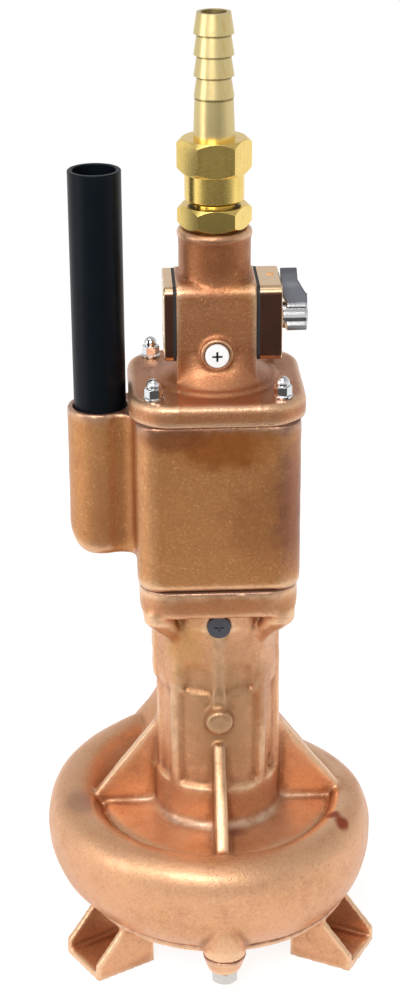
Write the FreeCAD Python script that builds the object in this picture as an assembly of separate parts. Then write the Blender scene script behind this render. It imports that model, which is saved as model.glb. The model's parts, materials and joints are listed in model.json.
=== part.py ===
import FreeCAD, Part
import math
import os

# Submersible bilge pump in cast bronze, driven by compressed air.
#
# Air enters at the hose tail on top, passes a hand throttle in the top cover and drives a vane
# motor in the square housing. The motor's shaft runs down the column to a centrifugal impeller
# in the scroll casing, which stands on a bottom cover with three hollow feet. Spent air leaves
# by the black pipe beside the housing, and water leaves by the threaded port behind the column.
#
# Everything is modelled about the shaft, with x to the right, y to the back and z up from the
# floor. At the end the pieces move together, so that the origin is under the middle of the box.

V = FreeCAD.Vector

# General fits
FIT = 0.05                  # radial clearance of a piece that is pushed into another
RUN = 0.06                  # radial clearance of a shaft that turns in a hole
END_PLAY = 0.4              # axial gap beside a face that turns

# Heights that stack from the floor up
FOOT_HEIGHT = 26.0          # floor to the underside of the bottom cover's plate
BOTTOM_PLATE = 4.0
CASING_DEPTH = 49.0         # joint face of the scroll casing up to its flat disc
PLINTH_HEIGHT = 24.0
CORE_HEIGHT = 55.0          # the narrow length of the column
BARREL_HEIGHT = 49.0        # the wider length of the column, under the collar
COLLAR_HEIGHT = 15.5
HOUSING_PAPER = 0.5
HOUSING_HEIGHT = 90.8
COVER_PAPER = 0.7
FLANGE_THICKNESS = 11.5
BLOCK_HEIGHT = 54.0         # flange to the top of the valve block
NECK_HEIGHT = 24.0

# Scroll casing
SEAM_RADIUS = 74.2          # casing and bottom cover at their joint
DISC_RADIUS = 61.5
PLINTH_RADIUS = 34.0
SCROLL_START_RADIUS = 80.6  # widest reach at the tongue
SCROLL_GROWTH = 18.0        # what the reach gains in a full turn
SCROLL_START_ANGLE = 75.0   # the tongue, in degrees from the right-hand side
SCROLL_SWEEP = 345.0        # clockwise from above
SCROLL_SECTIONS = 13
SCROLL_WIDEST = 34.0        # height of the widest point over the joint
SCROLL_CREST = 5.0          # the crest over the disc at the tongue
SCROLL_RISE = 10.5          # what the crest gains towards the outlet
CREST_SETBACK = 17.5        # widest point in to the crest
SHOULDER_FULLNESS = 2.7     # of the curve between them: 2 is an ellipse
SCROLL_GROOVE = 4.5         # groove round the disc, after a full turn
CASING_WALL = 6.0
CHAMBER_RADIUS = 57.5       # room for the impeller
CHAMBER_ROOF = 7.0          # thickness of the disc over the impeller

# Discharge behind the column
PORT_OFFSET = 79.0          # shaft to the axis of the port
PORT_BORE = 25.0
PORT_NECK_RADIUS = 29.2
PORT_NECK_TOP = 98.0        # top of the plain neck over the joint
BELL_FOOT = 15.0            # lowest section of the bell over the joint
BELL_HEIGHT = 68.0          # the bell up to the round neck
BELL_SPREAD = 43.0          # what the bell's foot gains on the neck to each side
BELL_LEAN = 21.0            # the foot's centre forward of the neck's
BELL_SKEW = 5.0             # the foot's centre to the left of the neck's
BELL_DRAW = 1.2             # the bell's top is drawn in by this, inside the neck
BELL_LAP = 14.0             # and the neck reaches this far down into the bell
BELL_SECTIONS = 7
PORT_BOSS_RADIUS = 33.5
PORT_BOSS_HEIGHT = 44.0
PORT_THREAD_RADIUS = 28.3   # 2 inch pipe thread, measured on its crests
PORT_THREAD_DEPTH = 26.0

# Column
CORE_RADIUS = 31.0
BARREL_RADIUS = 33.0
LEDGE_SLOPE = 1.6           # height of the sloped ledges where the column's radius changes
COLLAR_HALF = 41.0
COLLAR_CORNER = 17.0
COLLAR_ROUND = 2.5
COLLAR_TAPER = 10.0         # height of the plain flare under the collar
COLUMN_BORE = 22.0
SIDE_RIB_WIDTH = 16.0
SIDE_RIB_ROUND = 2.5
RIGHT_RIB_REACH = 34.0
LEFT_RIB_REACH = 32.3
LEFT_RIB_UPPER_REACH = 34.4 # the left rib beside the barrel
CORNER_RIB_WIDTH = 6.5      # the four ribs under the studs
CORNER_RIB_REACH = 34.3
CORNER_RIB_ROUND = 1.6
STUD_BOSS_RADIUS = 8.5      # the ribs' heads, round the studs
STUD_BOSS_FOOT = 5.0        # and where they leave the ribs
STUD_BOSS_OFFSET = 31.0
STUD_BOSS_HEIGHT = 4.0      # round head under the collar
STUD_BOSS_DROP = 20.0       # foot of the slope under it
FRONT_RIB_WIDTH = 7.7
FRONT_RIB_REACH = 33.7
POCKET_REACH = 18.5         # the two front pockets, from the middle out to their far sides
SHALLOW_POCKET_RADIUS = 31.2
SHALLOW_POCKET_TOP = 35.7   # over the barrel's foot
DEEP_POCKET_RADIUS = 28.6
DEEP_POCKET_TOP = 16.0
BLIND_BOSS_RADIUS = 9.0
BLIND_BOSS_DRAFT = 1.9
BLIND_BOSS_FACE = 38.0      # shaft to the face of the round boss
BLIND_BOSS_BELOW = 13.6     # centre of the boss under the barrel
WEB_THICKNESS = 7.0
WEB_TOP_ABOVE = 27.0        # top of a web over the plinth
FRONT_WEB_REACH = 67.0
SIDE_WEB_REACH = 72.0
WEEP_WIDTH = 3.0
WEEP_HEIGHT = 8.0
WEEP_ANGLE = -22.0

# Bottom cover, feet and the bolts that hold it
FOOT_ANGLES = (211.0, 331.0, 91.0)
FOOT_WIDTH = 34.0
FOOT_WALL = 4.0
FOOT_INNER = 52.6
FOOT_OUTER = 88.8
FOOT_TOE_HEIGHT = 9.0
FOOT_TOP_REACH = 72.0
SPIGOT_RADIUS = 57.4
SPIGOT_HEIGHT = 5.5
EYE_RADIUS = 25.0
LUG_ANGLES = (270.0, 30.0, 150.0)
LUG_CIRCLE = 78.0
LUG_RADIUS = 12.0
LUG_FOOT_RADIUS = 8.6
LUG_DROP = 10.0             # lug below the joint
CASING_LUG_HEIGHT = 22.0
BOLT_RADIUS = 4.0
BOLT_HEAD = 13.0
BOLT_HEAD_HEIGHT = 6.5
BOLT_GRIP = 16.0            # thread in the casing
STRAINER_RADIUS = 37.0
STRAINER_THICKNESS = 2.0
STRAINER_HOLE = 2.6
STRAINER_PITCH = 8.0
STRAINER_RINGS = 3
STRAINER_SCREW_CIRCLE = 32.0

# Motor housing with its exhaust boss
HOUSING_HALF = 41.8
HOUSING_CORNER = 12.0
HOUSING_FOOT_ROUND = 4.0
HOUSING_LIP = 4.0
LIP_BORE = 30.0
STUD_OFFSET = 32.0
STUD_RADIUS = 2.5
STUD_CLEARANCE = 0.2
EXHAUST_OFFSET = 58.8
EXHAUST_BOSS_RADIUS = 17.0
EXHAUST_BOSS_DROP = 1.8     # boss top below the housing's top
EXHAUST_BOSS_HEIGHT = 79.0
EXHAUST_BOSS_ROUND = 6.5
EXHAUST_ELBOW = 15.0        # the boss's foot swept in from its outer side
EXHAUST_FILLET = 8.0
EXHAUST_PASSAGE = 9.0
PIPE_RADIUS = 13.3
PIPE_WALL = 2.5
PIPE_SOCKET = 16.0
PIPE_LENGTH = 138.0
PIPE_SEAT = 0.5             # the way under the pipe is this much narrower than its bore

# Vane motor
CYLINDER_RADIUS = 38.0
CYLINDER_BORE = 32.0
ROTOR_RADIUS = 28.0
ECCENTRICITY = 3.6
END_PLATE = 12.0
VANE_COUNT = 5
VANE_THICKNESS = 4.0
VANE_DEPTH = 13.5
VANE_DRAW = 0.5             # vanes stand this far inside the rotor's rim at rest
PORT_SLOTS = 4
SHAFT_RADIUS = 8.5
MOTOR_BEARING_RADIUS = 17.5
MOTOR_BEARING_WIDTH = 10.0
COLUMN_BEARING_RADIUS = 20.0
COLUMN_BEARING_WIDTH = 12.0
RACE = 2.8                  # thickness of a bearing ring

# Pump end
IMPELLER_RADIUS = 54.0
IMPELLER_HUB = 14.0
IMPELLER_SHROUD = 4.5
IMPELLER_GAP = 1.0
BLADE_COUNT = 6
BLADE_THICKNESS = 4.0
BLADE_INLET = 21.0
BLADE_WRAP = 68.0
SEAL_SHAFT_RADIUS = 8.0
SEAL_RADIUS = 17.0
SEAL_SEAT_HEIGHT = 8.0
SEAL_RING_HEIGHT = 6.0
IMPELLER_SHAFT_RADIUS = 7.0
IMPELLER_NUT = 19.0
IMPELLER_NUT_HEX = 5.5
IMPELLER_NUT_DOME = 2.0
IMPELLER_NUT_END = 1.0      # left below the shaft's end
KEY_WIDTH = 4.0
KEY_LENGTH = 16.0

# Top cover with the valve block
FLANGE_HALF = 44.6
FLANGE_CORNER = 22.0
FLANGE_ROUND = 3.6
DISH_RADIUS = 32.5
DISH_RISE = 2.0
FLARE_HEIGHT = 18.0         # the concave foot of the valve block, at the front and back
FLARE_SIDE_HEIGHT = 11.0    # and under the side plates
BLOCK_X = 20.0
BLOCK_Y = 19.5
BLOCK_ROUND = 6.0
NECK_RADIUS = 18.2
NECK_BEAD = 0.8
AIR_BORE = 6.3
THROTTLE_HEIGHT = 31.5      # valve axis over the flange
OIL_HEIGHT = 18.5           # oil plug over the flange
OIL_BOSS_RADIUS = 8.2
OIL_BOSS_FACE = 22.5
OIL_HEAD_RADIUS = 6.0
OIL_HEAD_THICKNESS = 2.4
OIL_THREAD = 4.0

# Side plates of the valve block
PLATE_HALF = 19.4
PLATE_HEIGHT = 38.5
PLATE_CORNER = 4.0
PLATE_DROP = 1.5            # plate top below the block's top
SIDE_GASKET = 1.5
LEFT_PLATE = 4.5
RIGHT_PLATE = 11.0
PLATE_SCREW_OFFSET = 14.0
PLATE_SCREW_RADIUS = 2.0
PLATE_SCREW_HEAD = 3.8
PLATE_SCREW_SINK = 0.2      # heads below the plates' faces
RIGHT_SCREW_HEIGHT = 4.0    # heads in the thick plate
LEFT_SCREW_HEIGHT = 2.4     # and in the thin one

# Throttle
PLUG_RADIUS = 8.0
PLUG_LENGTH = 29.0
PLUG_PORT = 4.5
SPINDLE_RADIUS = 5.0
SPINDLE_GRIP = 9.0          # length in the lever
HANDLE_GAP = 0.8            # plate to lever
HANDLE_WIDTH = 13.0
HANDLE_HUB = 6.4
HANDLE_FRONT = 7.0          # spindle's axis to the blade's front
HANDLE_CHIN = 2.4           # the blade's foot overhangs the hub's front from here up
HANDLE_FIN = 8.2            # short end below the hub
HANDLE_REACH = 23.5
HANDLE_LEAN = 32.0          # blade back from upright, in degrees
HANDLE_BLADE = 5.0

# Brass fittings on the neck
PIPE_THREAD = 10.4
NIPPLE_FLATS = 32.0
NIPPLE_GAP = 1.0
NIPPLE_HEX = 11.0
NIPPLE_THREAD_LENGTH = 14.0
TAIL_FLATS = 32.0
TAIL_SKIRT_RADIUS = 14.8
TAIL_SKIRT = 15.0
TAIL_HEX = 17.0
TAIL_SHANK = 20.7
TAIL_SHANK_FOOT = 10.3
TAIL_SHANK_TOP = 9.5
BARB_COUNT = 4
BARB_PITCH = 10.1
BARB_CREST = 9.9
BARB_VALLEY = 8.65

# Cover nuts and the two screws that show
NUT_FLATS = 8.0
NUT_HEX = 5.0
NUT_DOME = 3.5
WASHER_RADIUS = 5.0
WASHER_THICKNESS = 1.0
COLUMN_SCREW_RADIUS = 6.0
COLUMN_SCREW_BELOW = 7.8    # centre of the screw under the barrel's top
COLUMN_SCREW_THICKNESS = 2.6
COLUMN_SCREW_PROUD = 0.4

# Levels that follow from the stack
z_seam = FOOT_HEIGHT + BOTTOM_PLATE
z_disc = z_seam + CASING_DEPTH
z_plinth = z_disc + PLINTH_HEIGHT
z_core = z_plinth + CORE_HEIGHT
z_barrel = z_core + BARREL_HEIGHT
z_collar = z_barrel + COLLAR_HEIGHT
z_house = z_collar + HOUSING_PAPER
z_house_top = z_house + HOUSING_HEIGHT
z_cover = z_house_top + COVER_PAPER
z_flange = z_cover + FLANGE_THICKNESS
z_block = z_flange + BLOCK_HEIGHT
z_neck = z_block + NECK_HEIGHT
z_throttle = z_flange + THROTTLE_HEIGHT
z_low_plate = z_house + HOUSING_LIP
z_cylinder = z_low_plate + END_PLATE
z_top_plate = z_house_top - END_PLATE
z_chamber = z_disc - CHAMBER_ROOF
z_eye = z_seam + SPIGOT_HEIGHT
z_bearing = z_plinth + 3.0
z_pipe = z_house_top - EXHAUST_BOSS_DROP - PIPE_SOCKET
z_port = z_seam + PORT_NECK_TOP + PORT_BOSS_HEIGHT


def cylinder(radius, bottom, top, x=0.0, y=0.0):
    return Part.makeCylinder(radius, top - bottom, V(x, y, bottom))


def cone(bottom_radius, top_radius, bottom, top, x=0.0, y=0.0):
    return Part.makeCone(bottom_radius, top_radius, top - bottom, V(x, y, bottom))


def ring(outer, inner, bottom, top, x=0.0, y=0.0):
    return cylinder(outer, bottom, top, x, y).cut(cylinder(inner, bottom, top, x, y))


def rod(radius, start, end):
    """A cylinder from one point to another."""
    along = end - start
    return Part.makeCylinder(radius, along.Length, start, along)


def box(x0, x1, y0, y1, z0, z1):
    return Part.makeBox(x1 - x0, y1 - y0, z1 - z0, V(x0, y0, z0))


def fuse(shapes):
    first = shapes[0]
    return first.fuse(shapes[1:]).removeSplitter()


def spun(shape, degrees):
    """A copy turned about the shaft."""
    copy = shape.copy()
    copy.rotate(V(0, 0, 0), V(0, 0, 1), degrees)
    return copy


def outline(points):
    """A closed wire. A point is a vector, or a pair of vectors: an arc's middle and its end."""
    edges = []
    here = points[0]
    for step in points[1:] + [points[0]]:
        if isinstance(step, tuple):
            edges.append(Part.Arc(here, step[0], step[1]).toShape())
            here = step[1]
        elif here.distanceToPoint(step) > 1e-6:
            edges.append(Part.LineSegment(here, step).toShape())
            here = step
    return Part.Wire(edges)


def turned(profile, x=0.0, y=0.0):
    """A solid of revolution about a vertical axis, from (radius, height) points."""
    def at(r, z):
        return V(x + r, y, z)

    points = []
    for step in profile:
        if len(step) == 4:
            points.append((at(step[0], step[1]), at(step[2], step[3])))
        else:
            points.append(at(*step))
    face = Part.Face(outline(points))
    return face.revolve(V(x, y, 0), V(0, 0, 1), 360)


def cap(radius, base, rise):
    """A part of a sphere on a round base. A negative rise hangs it down."""
    sphere = (radius ** 2 + rise ** 2) / (2.0 * rise)
    half = 0.5 * math.asin(min(1.0, radius / abs(sphere)))
    middle = (abs(sphere) * math.sin(half), base + rise - sphere * (1.0 - math.cos(half)))
    return turned([(0, base), (radius, base), (middle[0], middle[1], 0, base + rise)])


def rounded_square(half_x, half_y, corner, bottom, top):
    """An upright prism with rounded corners."""
    prism = box(-half_x, half_x, -half_y, half_y, bottom, top)
    uprights = [e for e in prism.Edges if e.BoundBox.ZLength > 0.5 * (top - bottom)]
    return prism.makeFillet(corner, uprights)


def level_edges(shape, z):
    """The edges that lie flat at one height."""
    return [e for e in shape.Edges if abs(e.BoundBox.ZMin - z) < 0.01 and e.BoundBox.ZLength < 0.01]


def hexagon(flats, bottom, top, turn=0.0, corner_cut=1.2):
    """A hexagon bar with its corners turned off at both ends. Turn 0 puts a flat at the front."""
    reach = flats / math.sqrt(3.0)
    points = []
    for i in range(6):
        angle = math.radians(60.0 * i + turn)
        points.append(V(reach * math.cos(angle), reach * math.sin(angle), bottom))
    bar = Part.Face(Part.makePolygon(points + points[:1])).extrude(V(0, 0, top - bottom))
    rim = flats / 2.0
    sleeve = turned([(0, bottom), (rim, bottom), (reach, bottom + corner_cut),
                     (reach, top - corner_cut), (rim, top), (0, top)])
    return bar.common(sleeve)


def oval_wire(half_x, half_y, squareness, z, x=0.0, y=0.0, points=24):
    """A smooth closed curve between an ellipse (2) and a rectangle (8 and more)."""
    places = []
    for i in range(points):
        angle = 2.0 * math.pi * i / points
        c = math.cos(angle)
        s = math.sin(angle)
        reach = (abs(c) ** squareness + abs(s) ** squareness) ** (-1.0 / squareness)
        places.append(V(x + half_x * reach * c, y + half_y * reach * s, z))
    curve = Part.BSplineCurve()
    curve.interpolate(Points=places, PeriodicFlag=True)
    return Part.Wire([curve.toShape()])


def loft(wires):
    return Part.makeLoft(wires, True, False)


# Pump end

def scroll_reach(turn):
    """Widest radius of the scroll after a part of a full turn from the tongue."""
    return SCROLL_START_RADIUS + SCROLL_GROWTH * turn


def scroll_top(turn):
    """Height of the scroll's crest."""
    return z_disc + SCROLL_CREST + SCROLL_RISE * turn ** 3


def scroll_section(turn, angle):
    """Upright outline of the scroll's outer form, buried in the hub on its inner side."""
    reach = scroll_reach(turn)
    widest = z_seam + SCROLL_WIDEST
    top = scroll_top(turn)
    crest = reach - CREST_SETBACK
    below = SCROLL_WIDEST * 1.16
    spread = (reach - SEAM_RADIUS) / 0.49
    inside = DISC_RADIUS - 8.0
    foot = z_seam - 3.0
    skin = []
    for i in range(4):
        drop = math.asin((widest - foot) / below) * (1.0 - i / 4.0)
        skin.append((reach - spread * (1.0 - math.cos(drop)), widest - below * math.sin(drop)))
    bend = 2.0 / SHOULDER_FULLNESS
    for i in range(5):
        climb = math.radians(90.0 * i / 4.0)
        out = abs(math.cos(climb)) ** bend if i < 4 else 0.0
        skin.append((crest + CREST_SETBACK * out, widest + (top - widest) * math.sin(climb) ** bend))
    groove = z_disc - 0.4 - SCROLL_GROOVE * turn
    skin.append((DISC_RADIUS + 0.45 * (crest - DISC_RADIUS), 0.35 * groove + 0.65 * top))
    skin.append((DISC_RADIUS + 1.0, groove))
    skin.append((DISC_RADIUS - 4.0, groove - 1.0))

    def at(r, z):
        return V(r * math.cos(angle), r * math.sin(angle), z)

    curve = Part.BSplineCurve()
    curve.interpolate([at(r, z) for r, z in skin])
    edges = [curve.toShape()]
    last = at(*skin[-1])
    for corner in (at(inside, groove - 2.0), at(inside, foot), at(*skin[0])):
        edges.append(Part.LineSegment(last, corner).toShape())
        last = corner
    return Part.Wire(edges)


def passage_section(turn, angle):
    """Outline of the water way inside the scroll."""
    inner = CHAMBER_RADIUS - 8.0
    outer = scroll_reach(turn) - CASING_WALL
    floor = z_eye + 3.5
    roof = scroll_top(turn) - CASING_WALL - 2.0
    mid_r = 0.5 * (inner + outer)
    mid_z = 0.5 * (floor + roof)
    places = []
    for i in range(12):
        a = 2.0 * math.pi * i / 12
        r = mid_r + 0.5 * (outer - inner) * math.cos(a)
        z = mid_z + 0.5 * (roof - floor) * math.sin(a)
        places.append(V(r * math.cos(angle), r * math.sin(angle), z))
    curve = Part.BSplineCurve()
    curve.interpolate(Points=places, PeriodicFlag=True)
    return Part.Wire([curve.toShape()])


def along_scroll(section):
    """Loft a section round the scroll, clockwise from above."""
    wires = []
    for i in range(SCROLL_SECTIONS):
        swept = SCROLL_SWEEP * i / (SCROLL_SECTIONS - 1)
        wires.append(section(swept / 360.0, math.radians(SCROLL_START_ANGLE - swept)))
    return loft(wires)


def bell_section(share, spread, wall):
    """Oval outline of the bell at a share of its height; the wall is taken off all round."""
    flare = 0.5 + 0.5 * math.cos(math.pi * share)
    drawn = wall + BELL_DRAW * share ** 4
    half_x = PORT_NECK_RADIUS + spread * flare - drawn
    half_y = PORT_NECK_RADIUS * (1.0 + 0.12 * math.sin(math.pi * share)) - 4.0 * (1.0 - share) - drawn
    z = z_seam + BELL_FOOT + BELL_HEIGHT * share
    back = PORT_OFFSET - (BELL_LEAN - 0.6 * wall) * (1.0 - share) ** 1.5
    return oval_wire(half_x, half_y, 2, z, -BELL_SKEW * (1.0 - share), back)


def discharge_form():
    """The bell that rises from the back of the scroll into the round neck and the port's boss."""
    neck_low = z_seam + BELL_FOOT + BELL_HEIGHT - BELL_LAP
    neck = z_seam + PORT_NECK_TOP
    steps = BELL_SECTIONS - 1
    bell = loft([bell_section(float(i) / steps, BELL_SPREAD, 0.0) for i in range(BELL_SECTIONS)])
    pipe = cylinder(PORT_NECK_RADIUS, neck_low, neck, 0, PORT_OFFSET)
    shoulder = cone(PORT_NECK_RADIUS, PORT_BOSS_RADIUS, neck, neck + 4.0, 0, PORT_OFFSET)
    boss = cylinder(PORT_BOSS_RADIUS, neck + 4.0, z_port, 0, PORT_OFFSET)
    boss = boss.makeChamfer(1.0, level_edges(boss, z_port))
    return fuse([bell, pipe, shoulder, boss])


def discharge_way():
    """The water way up through the bell, and the port's threaded bore."""
    neck_low = z_seam + BELL_FOOT + BELL_HEIGHT - BELL_LAP
    wall = PORT_NECK_RADIUS - PORT_BORE
    steps = BELL_SECTIONS - 2
    shares = [0.25 + 0.75 * i / steps for i in range(BELL_SECTIONS - 1)]
    flare = loft([bell_section(share, 0.45 * BELL_SPREAD, wall) for share in shares])
    pipe = cylinder(PORT_BORE, neck_low, z_port, 0, PORT_OFFSET)
    thread = cylinder(PORT_THREAD_RADIUS, z_port - PORT_THREAD_DEPTH, z_port + 1.0, 0, PORT_OFFSET)
    return fuse([flare, pipe, thread])


def web(reach, root):
    """An upright stiffening web along +x, from the column down to the scroll."""
    top = z_plinth + WEB_TOP_ABOVE
    half = WEB_THICKNESS / 2.0
    toe = z_disc + 1.0
    points = [V(root - 8.0, -half, z_disc - 4.0), V(reach, -half, z_disc - 4.0), V(reach, -half, toe),
              V(root, -half, top), V(root - 8.0, -half, top)]
    return Part.Face(Part.makePolygon(points + points[:1])).extrude(V(0, WEB_THICKNESS, 0))


def column_stem():
    """The turned forms one on the other: plinth, core and barrel."""
    foot = PLINTH_RADIUS + 5.0
    half = LEDGE_SLOPE / 2.0
    return turned([(0, z_disc - 3.0), (foot, z_disc - 3.0), (foot, z_disc),
                   (PLINTH_RADIUS + 1.4, z_disc + 1.4, PLINTH_RADIUS, z_disc + 5.0),
                   (PLINTH_RADIUS, z_plinth - half), (CORE_RADIUS, z_plinth + half),
                   (CORE_RADIUS, z_core - 2.0 * LEDGE_SLOPE), (BARREL_RADIUS, z_core + LEDGE_SLOPE),
                   (BARREL_RADIUS, z_collar - 1.0), (0, z_collar - 1.0)])


def collar_form():
    """Rounded square under the motor housing, with a short flare and a boss round each stud."""
    collar = rounded_square(COLLAR_HALF, COLLAR_HALF, COLLAR_CORNER, z_barrel, z_collar)
    collar = collar.makeFillet(COLLAR_ROUND, level_edges(collar, z_barrel))
    flare = cone(BARREL_RADIUS - 0.3, BARREL_RADIUS + 1.2, z_barrel - COLLAR_TAPER, z_barrel + 3.0)
    low = z_barrel - STUD_BOSS_DROP
    rib = CORNER_RIB_REACH - STUD_BOSS_FOOT + 1.0
    bosses = []
    for angle in (45.0, 135.0, 225.0, 315.0):
        out = STUD_BOSS_OFFSET * math.sqrt(2.0)
        slope_top = z_barrel - STUD_BOSS_HEIGHT
        head = cylinder(STUD_BOSS_RADIUS, slope_top, z_barrel + 3.0, out, 0)
        slope = loft([round_wire(STUD_BOSS_FOOT, low, rib), round_wire(STUD_BOSS_RADIUS, slope_top, out)])
        bosses += [spun(head, angle), spun(slope, angle)]
    return fuse([collar, flare] + bosses)


def round_wire(radius, z, x):
    return Part.Wire([Part.makeCircle(radius, V(x, 0, z))])


def upright_rib(width, reach, low, high, corner):
    """A straight rib along +x up the column, with rounded outer edges."""
    rib = box(0, reach, -width / 2.0, width / 2.0, low, high)
    return rib.makeFillet(corner, outer_uprights(rib, reach))


def column_ribs():
    """Ribs at both sides and under the four studs, and the short one under the screw."""
    low = z_plinth - 4.0
    ribs = [upright_rib(SIDE_RIB_WIDTH, RIGHT_RIB_REACH, low, z_barrel, SIDE_RIB_ROUND),
            spun(upright_rib(SIDE_RIB_WIDTH, LEFT_RIB_REACH, low, z_barrel, SIDE_RIB_ROUND), 180.0),
            spun(upright_rib(SIDE_RIB_WIDTH, LEFT_RIB_UPPER_REACH, z_core, z_barrel, SIDE_RIB_ROUND), 180.0)]
    for angle in (45.0, 135.0, 225.0, 315.0):
        rib = upright_rib(CORNER_RIB_WIDTH, CORNER_RIB_REACH, low, z_barrel, CORNER_RIB_ROUND)
        ribs.append(spun(rib, angle))
    return ribs


def front_pocket(radius, height):
    """Room of a front pocket: round at its back, with a sloped ledge at its foot."""
    low = z_core
    ledge = low + LEDGE_SLOPE
    out = BARREL_RADIUS + 6.0
    lip = low - 2.0 * LEDGE_SLOPE - 0.1
    room = turned([(radius, ledge), (CORE_RADIUS, low), (CORE_RADIUS, lip), (out, lip), (out, low + height),
                   (radius, low + height)])
    gap = FRONT_RIB_WIDTH / 2.0
    left = box(-POCKET_REACH, -gap, -out, 0, lip - 1.0, low + height + 1.0)
    right = box(gap, POCKET_REACH, -out, 0, lip - 1.0, low + height + 1.0)
    return room.common(left.fuse(right))


def column_form():
    """The column with its collar, ribs, webs, front pockets and round boss."""
    form = fuse([column_stem(), collar_form()])
    form = form.cut([front_pocket(SHALLOW_POCKET_RADIUS, SHALLOW_POCKET_TOP),
                     front_pocket(DEEP_POCKET_RADIUS, DEEP_POCKET_TOP)])
    boss_z = z_core - BLIND_BOSS_BELOW
    boss = Part.makeCone(BLIND_BOSS_RADIUS, BLIND_BOSS_RADIUS - BLIND_BOSS_DRAFT, BLIND_BOSS_FACE - CORE_RADIUS + 4.0,
                         V(0, -CORE_RADIUS + 4.0, boss_z), V(0, -1, 0))
    front_rib = upright_rib(FRONT_RIB_WIDTH, FRONT_RIB_REACH, boss_z, z_barrel - COLUMN_SCREW_BELOW, 1.0)
    pieces = [form, boss, spun(front_rib, -90.0),
              spun(web(FRONT_WEB_REACH, CORE_RADIUS + 3.0), -90.0),
              web(SIDE_WEB_REACH, RIGHT_RIB_REACH - 1.0),
              spun(web(SIDE_WEB_REACH - 2.0, LEFT_RIB_REACH), 180.0)]
    return fuse(pieces + column_ribs())


def outer_uprights(block, x):
    """The upright edges of a block on its face at x."""
    return [e for e in block.Edges
            if e.BoundBox.ZLength > 1.0 and abs(e.BoundBox.XMin - x) < 0.01]


def casing_lug():
    """Round boss for a cover bolt, on the flank of the scroll at +x."""
    top = z_seam + CASING_LUG_HEIGHT
    return cone(LUG_RADIUS, LUG_RADIUS - 3.0, z_seam, top, LUG_CIRCLE, 0)


def pump_casing():
    hub = turned([(0, z_seam - 3.0), (SEAM_RADIUS - 6.0, z_seam - 3.0), (DISC_RADIUS + 3.0, z_seam + 8.0),
                  (DISC_RADIUS + 3.0, z_disc - 8.0), (DISC_RADIUS + 0.5, z_disc - 4.5),
                  (DISC_RADIUS, z_disc - 1.0), (DISC_RADIUS - 1.2, z_disc),
                  (0, z_disc)])
    form = fuse([along_scroll(scroll_section), hub, discharge_form(), column_form()]
                + [spun(casing_lug(), a) for a in LUG_ANGLES])
    form = form.cut(box(-200, 200, -200, 200, z_seam - 20.0, z_seam))

    seal_top = z_plinth - 2.0
    roof = z_chamber
    hollow = turned([(0, z_seam - 1.0), (SPIGOT_RADIUS + FIT, z_seam - 1.0), (SPIGOT_RADIUS + FIT, z_eye),
                     (CHAMBER_RADIUS, z_eye + 2.0), (CHAMBER_RADIUS, roof - 6.0),
                     (CHAMBER_RADIUS - 6.0, roof), (SEAL_RADIUS + FIT, roof),
                     (SEAL_RADIUS + FIT, seal_top), (SHAFT_RADIUS + 2.5, seal_top),
                     (SHAFT_RADIUS + 2.5, z_bearing), (COLUMN_BEARING_RADIUS + FIT, z_bearing),
                     (COLUMN_BEARING_RADIUS + FIT, z_bearing + COLUMN_BEARING_WIDTH + 4.0),
                     (COLUMN_BORE, z_bearing + COLUMN_BEARING_WIDTH + 4.0), (COLUMN_BORE, z_barrel - 6.0),
                     (LIP_BORE, z_barrel), (LIP_BORE, z_collar + 1.0), (0, z_collar + 1.0)])
    form = form.cut([hollow, along_scroll(passage_section), discharge_way()])

    cuts = []
    for x, y in stud_places():
        cuts.append(cylinder(STUD_RADIUS + FIT, z_collar - 14.0, z_collar + 1.0, x, y))
    for angle in LUG_ANGLES:
        hole = cylinder(BOLT_RADIUS + FIT, z_seam - 1.0, z_seam + BOLT_GRIP + 1.0, LUG_CIRCLE, 0)
        cuts.append(spun(hole, angle))
    weep = box(SHAFT_RADIUS, CORE_RADIUS + 6.0, -WEEP_WIDTH / 2.0, WEEP_WIDTH / 2.0,
               z_bearing - 2.5, z_bearing - 2.5 + WEEP_HEIGHT)
    cuts.append(spun(weep, WEEP_ANGLE))
    screw_z = z_barrel - COLUMN_SCREW_BELOW
    seat_y = column_screw_seat()
    cuts.append(rod(COLUMN_SCREW_RADIUS + FIT, V(0, seat_y, screw_z), V(0, -BARREL_RADIUS - 2.0, screw_z)))
    cuts.append(rod(OIL_THREAD + FIT, V(0, -COLUMN_BORE + 1.0, screw_z), V(0, seat_y - 1.0, screw_z)))
    return form.cut(cuts)


def column_screw_seat():
    return -BARREL_RADIUS + COLUMN_SCREW_THICKNESS - COLUMN_SCREW_PROUD


def column_screw():
    """Dark round-headed screw that closes the column's grease hole."""
    screw_z = z_barrel - COLUMN_SCREW_BELOW
    seat_y = column_screw_seat()
    head = rod(COLUMN_SCREW_RADIUS, V(0, seat_y, screw_z), V(0, seat_y - COLUMN_SCREW_THICKNESS, screw_z))
    shank = rod(OIL_THREAD, V(0, -COLUMN_BORE - 2.0, screw_z), V(0, seat_y, screw_z))
    face = seat_y - COLUMN_SCREW_THICKNESS
    return fuse([head, shank]).cut(cross_slot(screw_z, face))


def cross_slot(z, face_y):
    """Cross recess in a screw head that faces the front."""
    width = 1.1
    reach = 2.6
    depth = 1.4
    bar = box(-reach, reach, face_y - 1.0, face_y + depth, z - width / 2.0, z + width / 2.0)
    post = box(-width / 2.0, width / 2.0, face_y - 1.0, face_y + depth, z - reach, z + reach)
    return bar.fuse(post)


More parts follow.
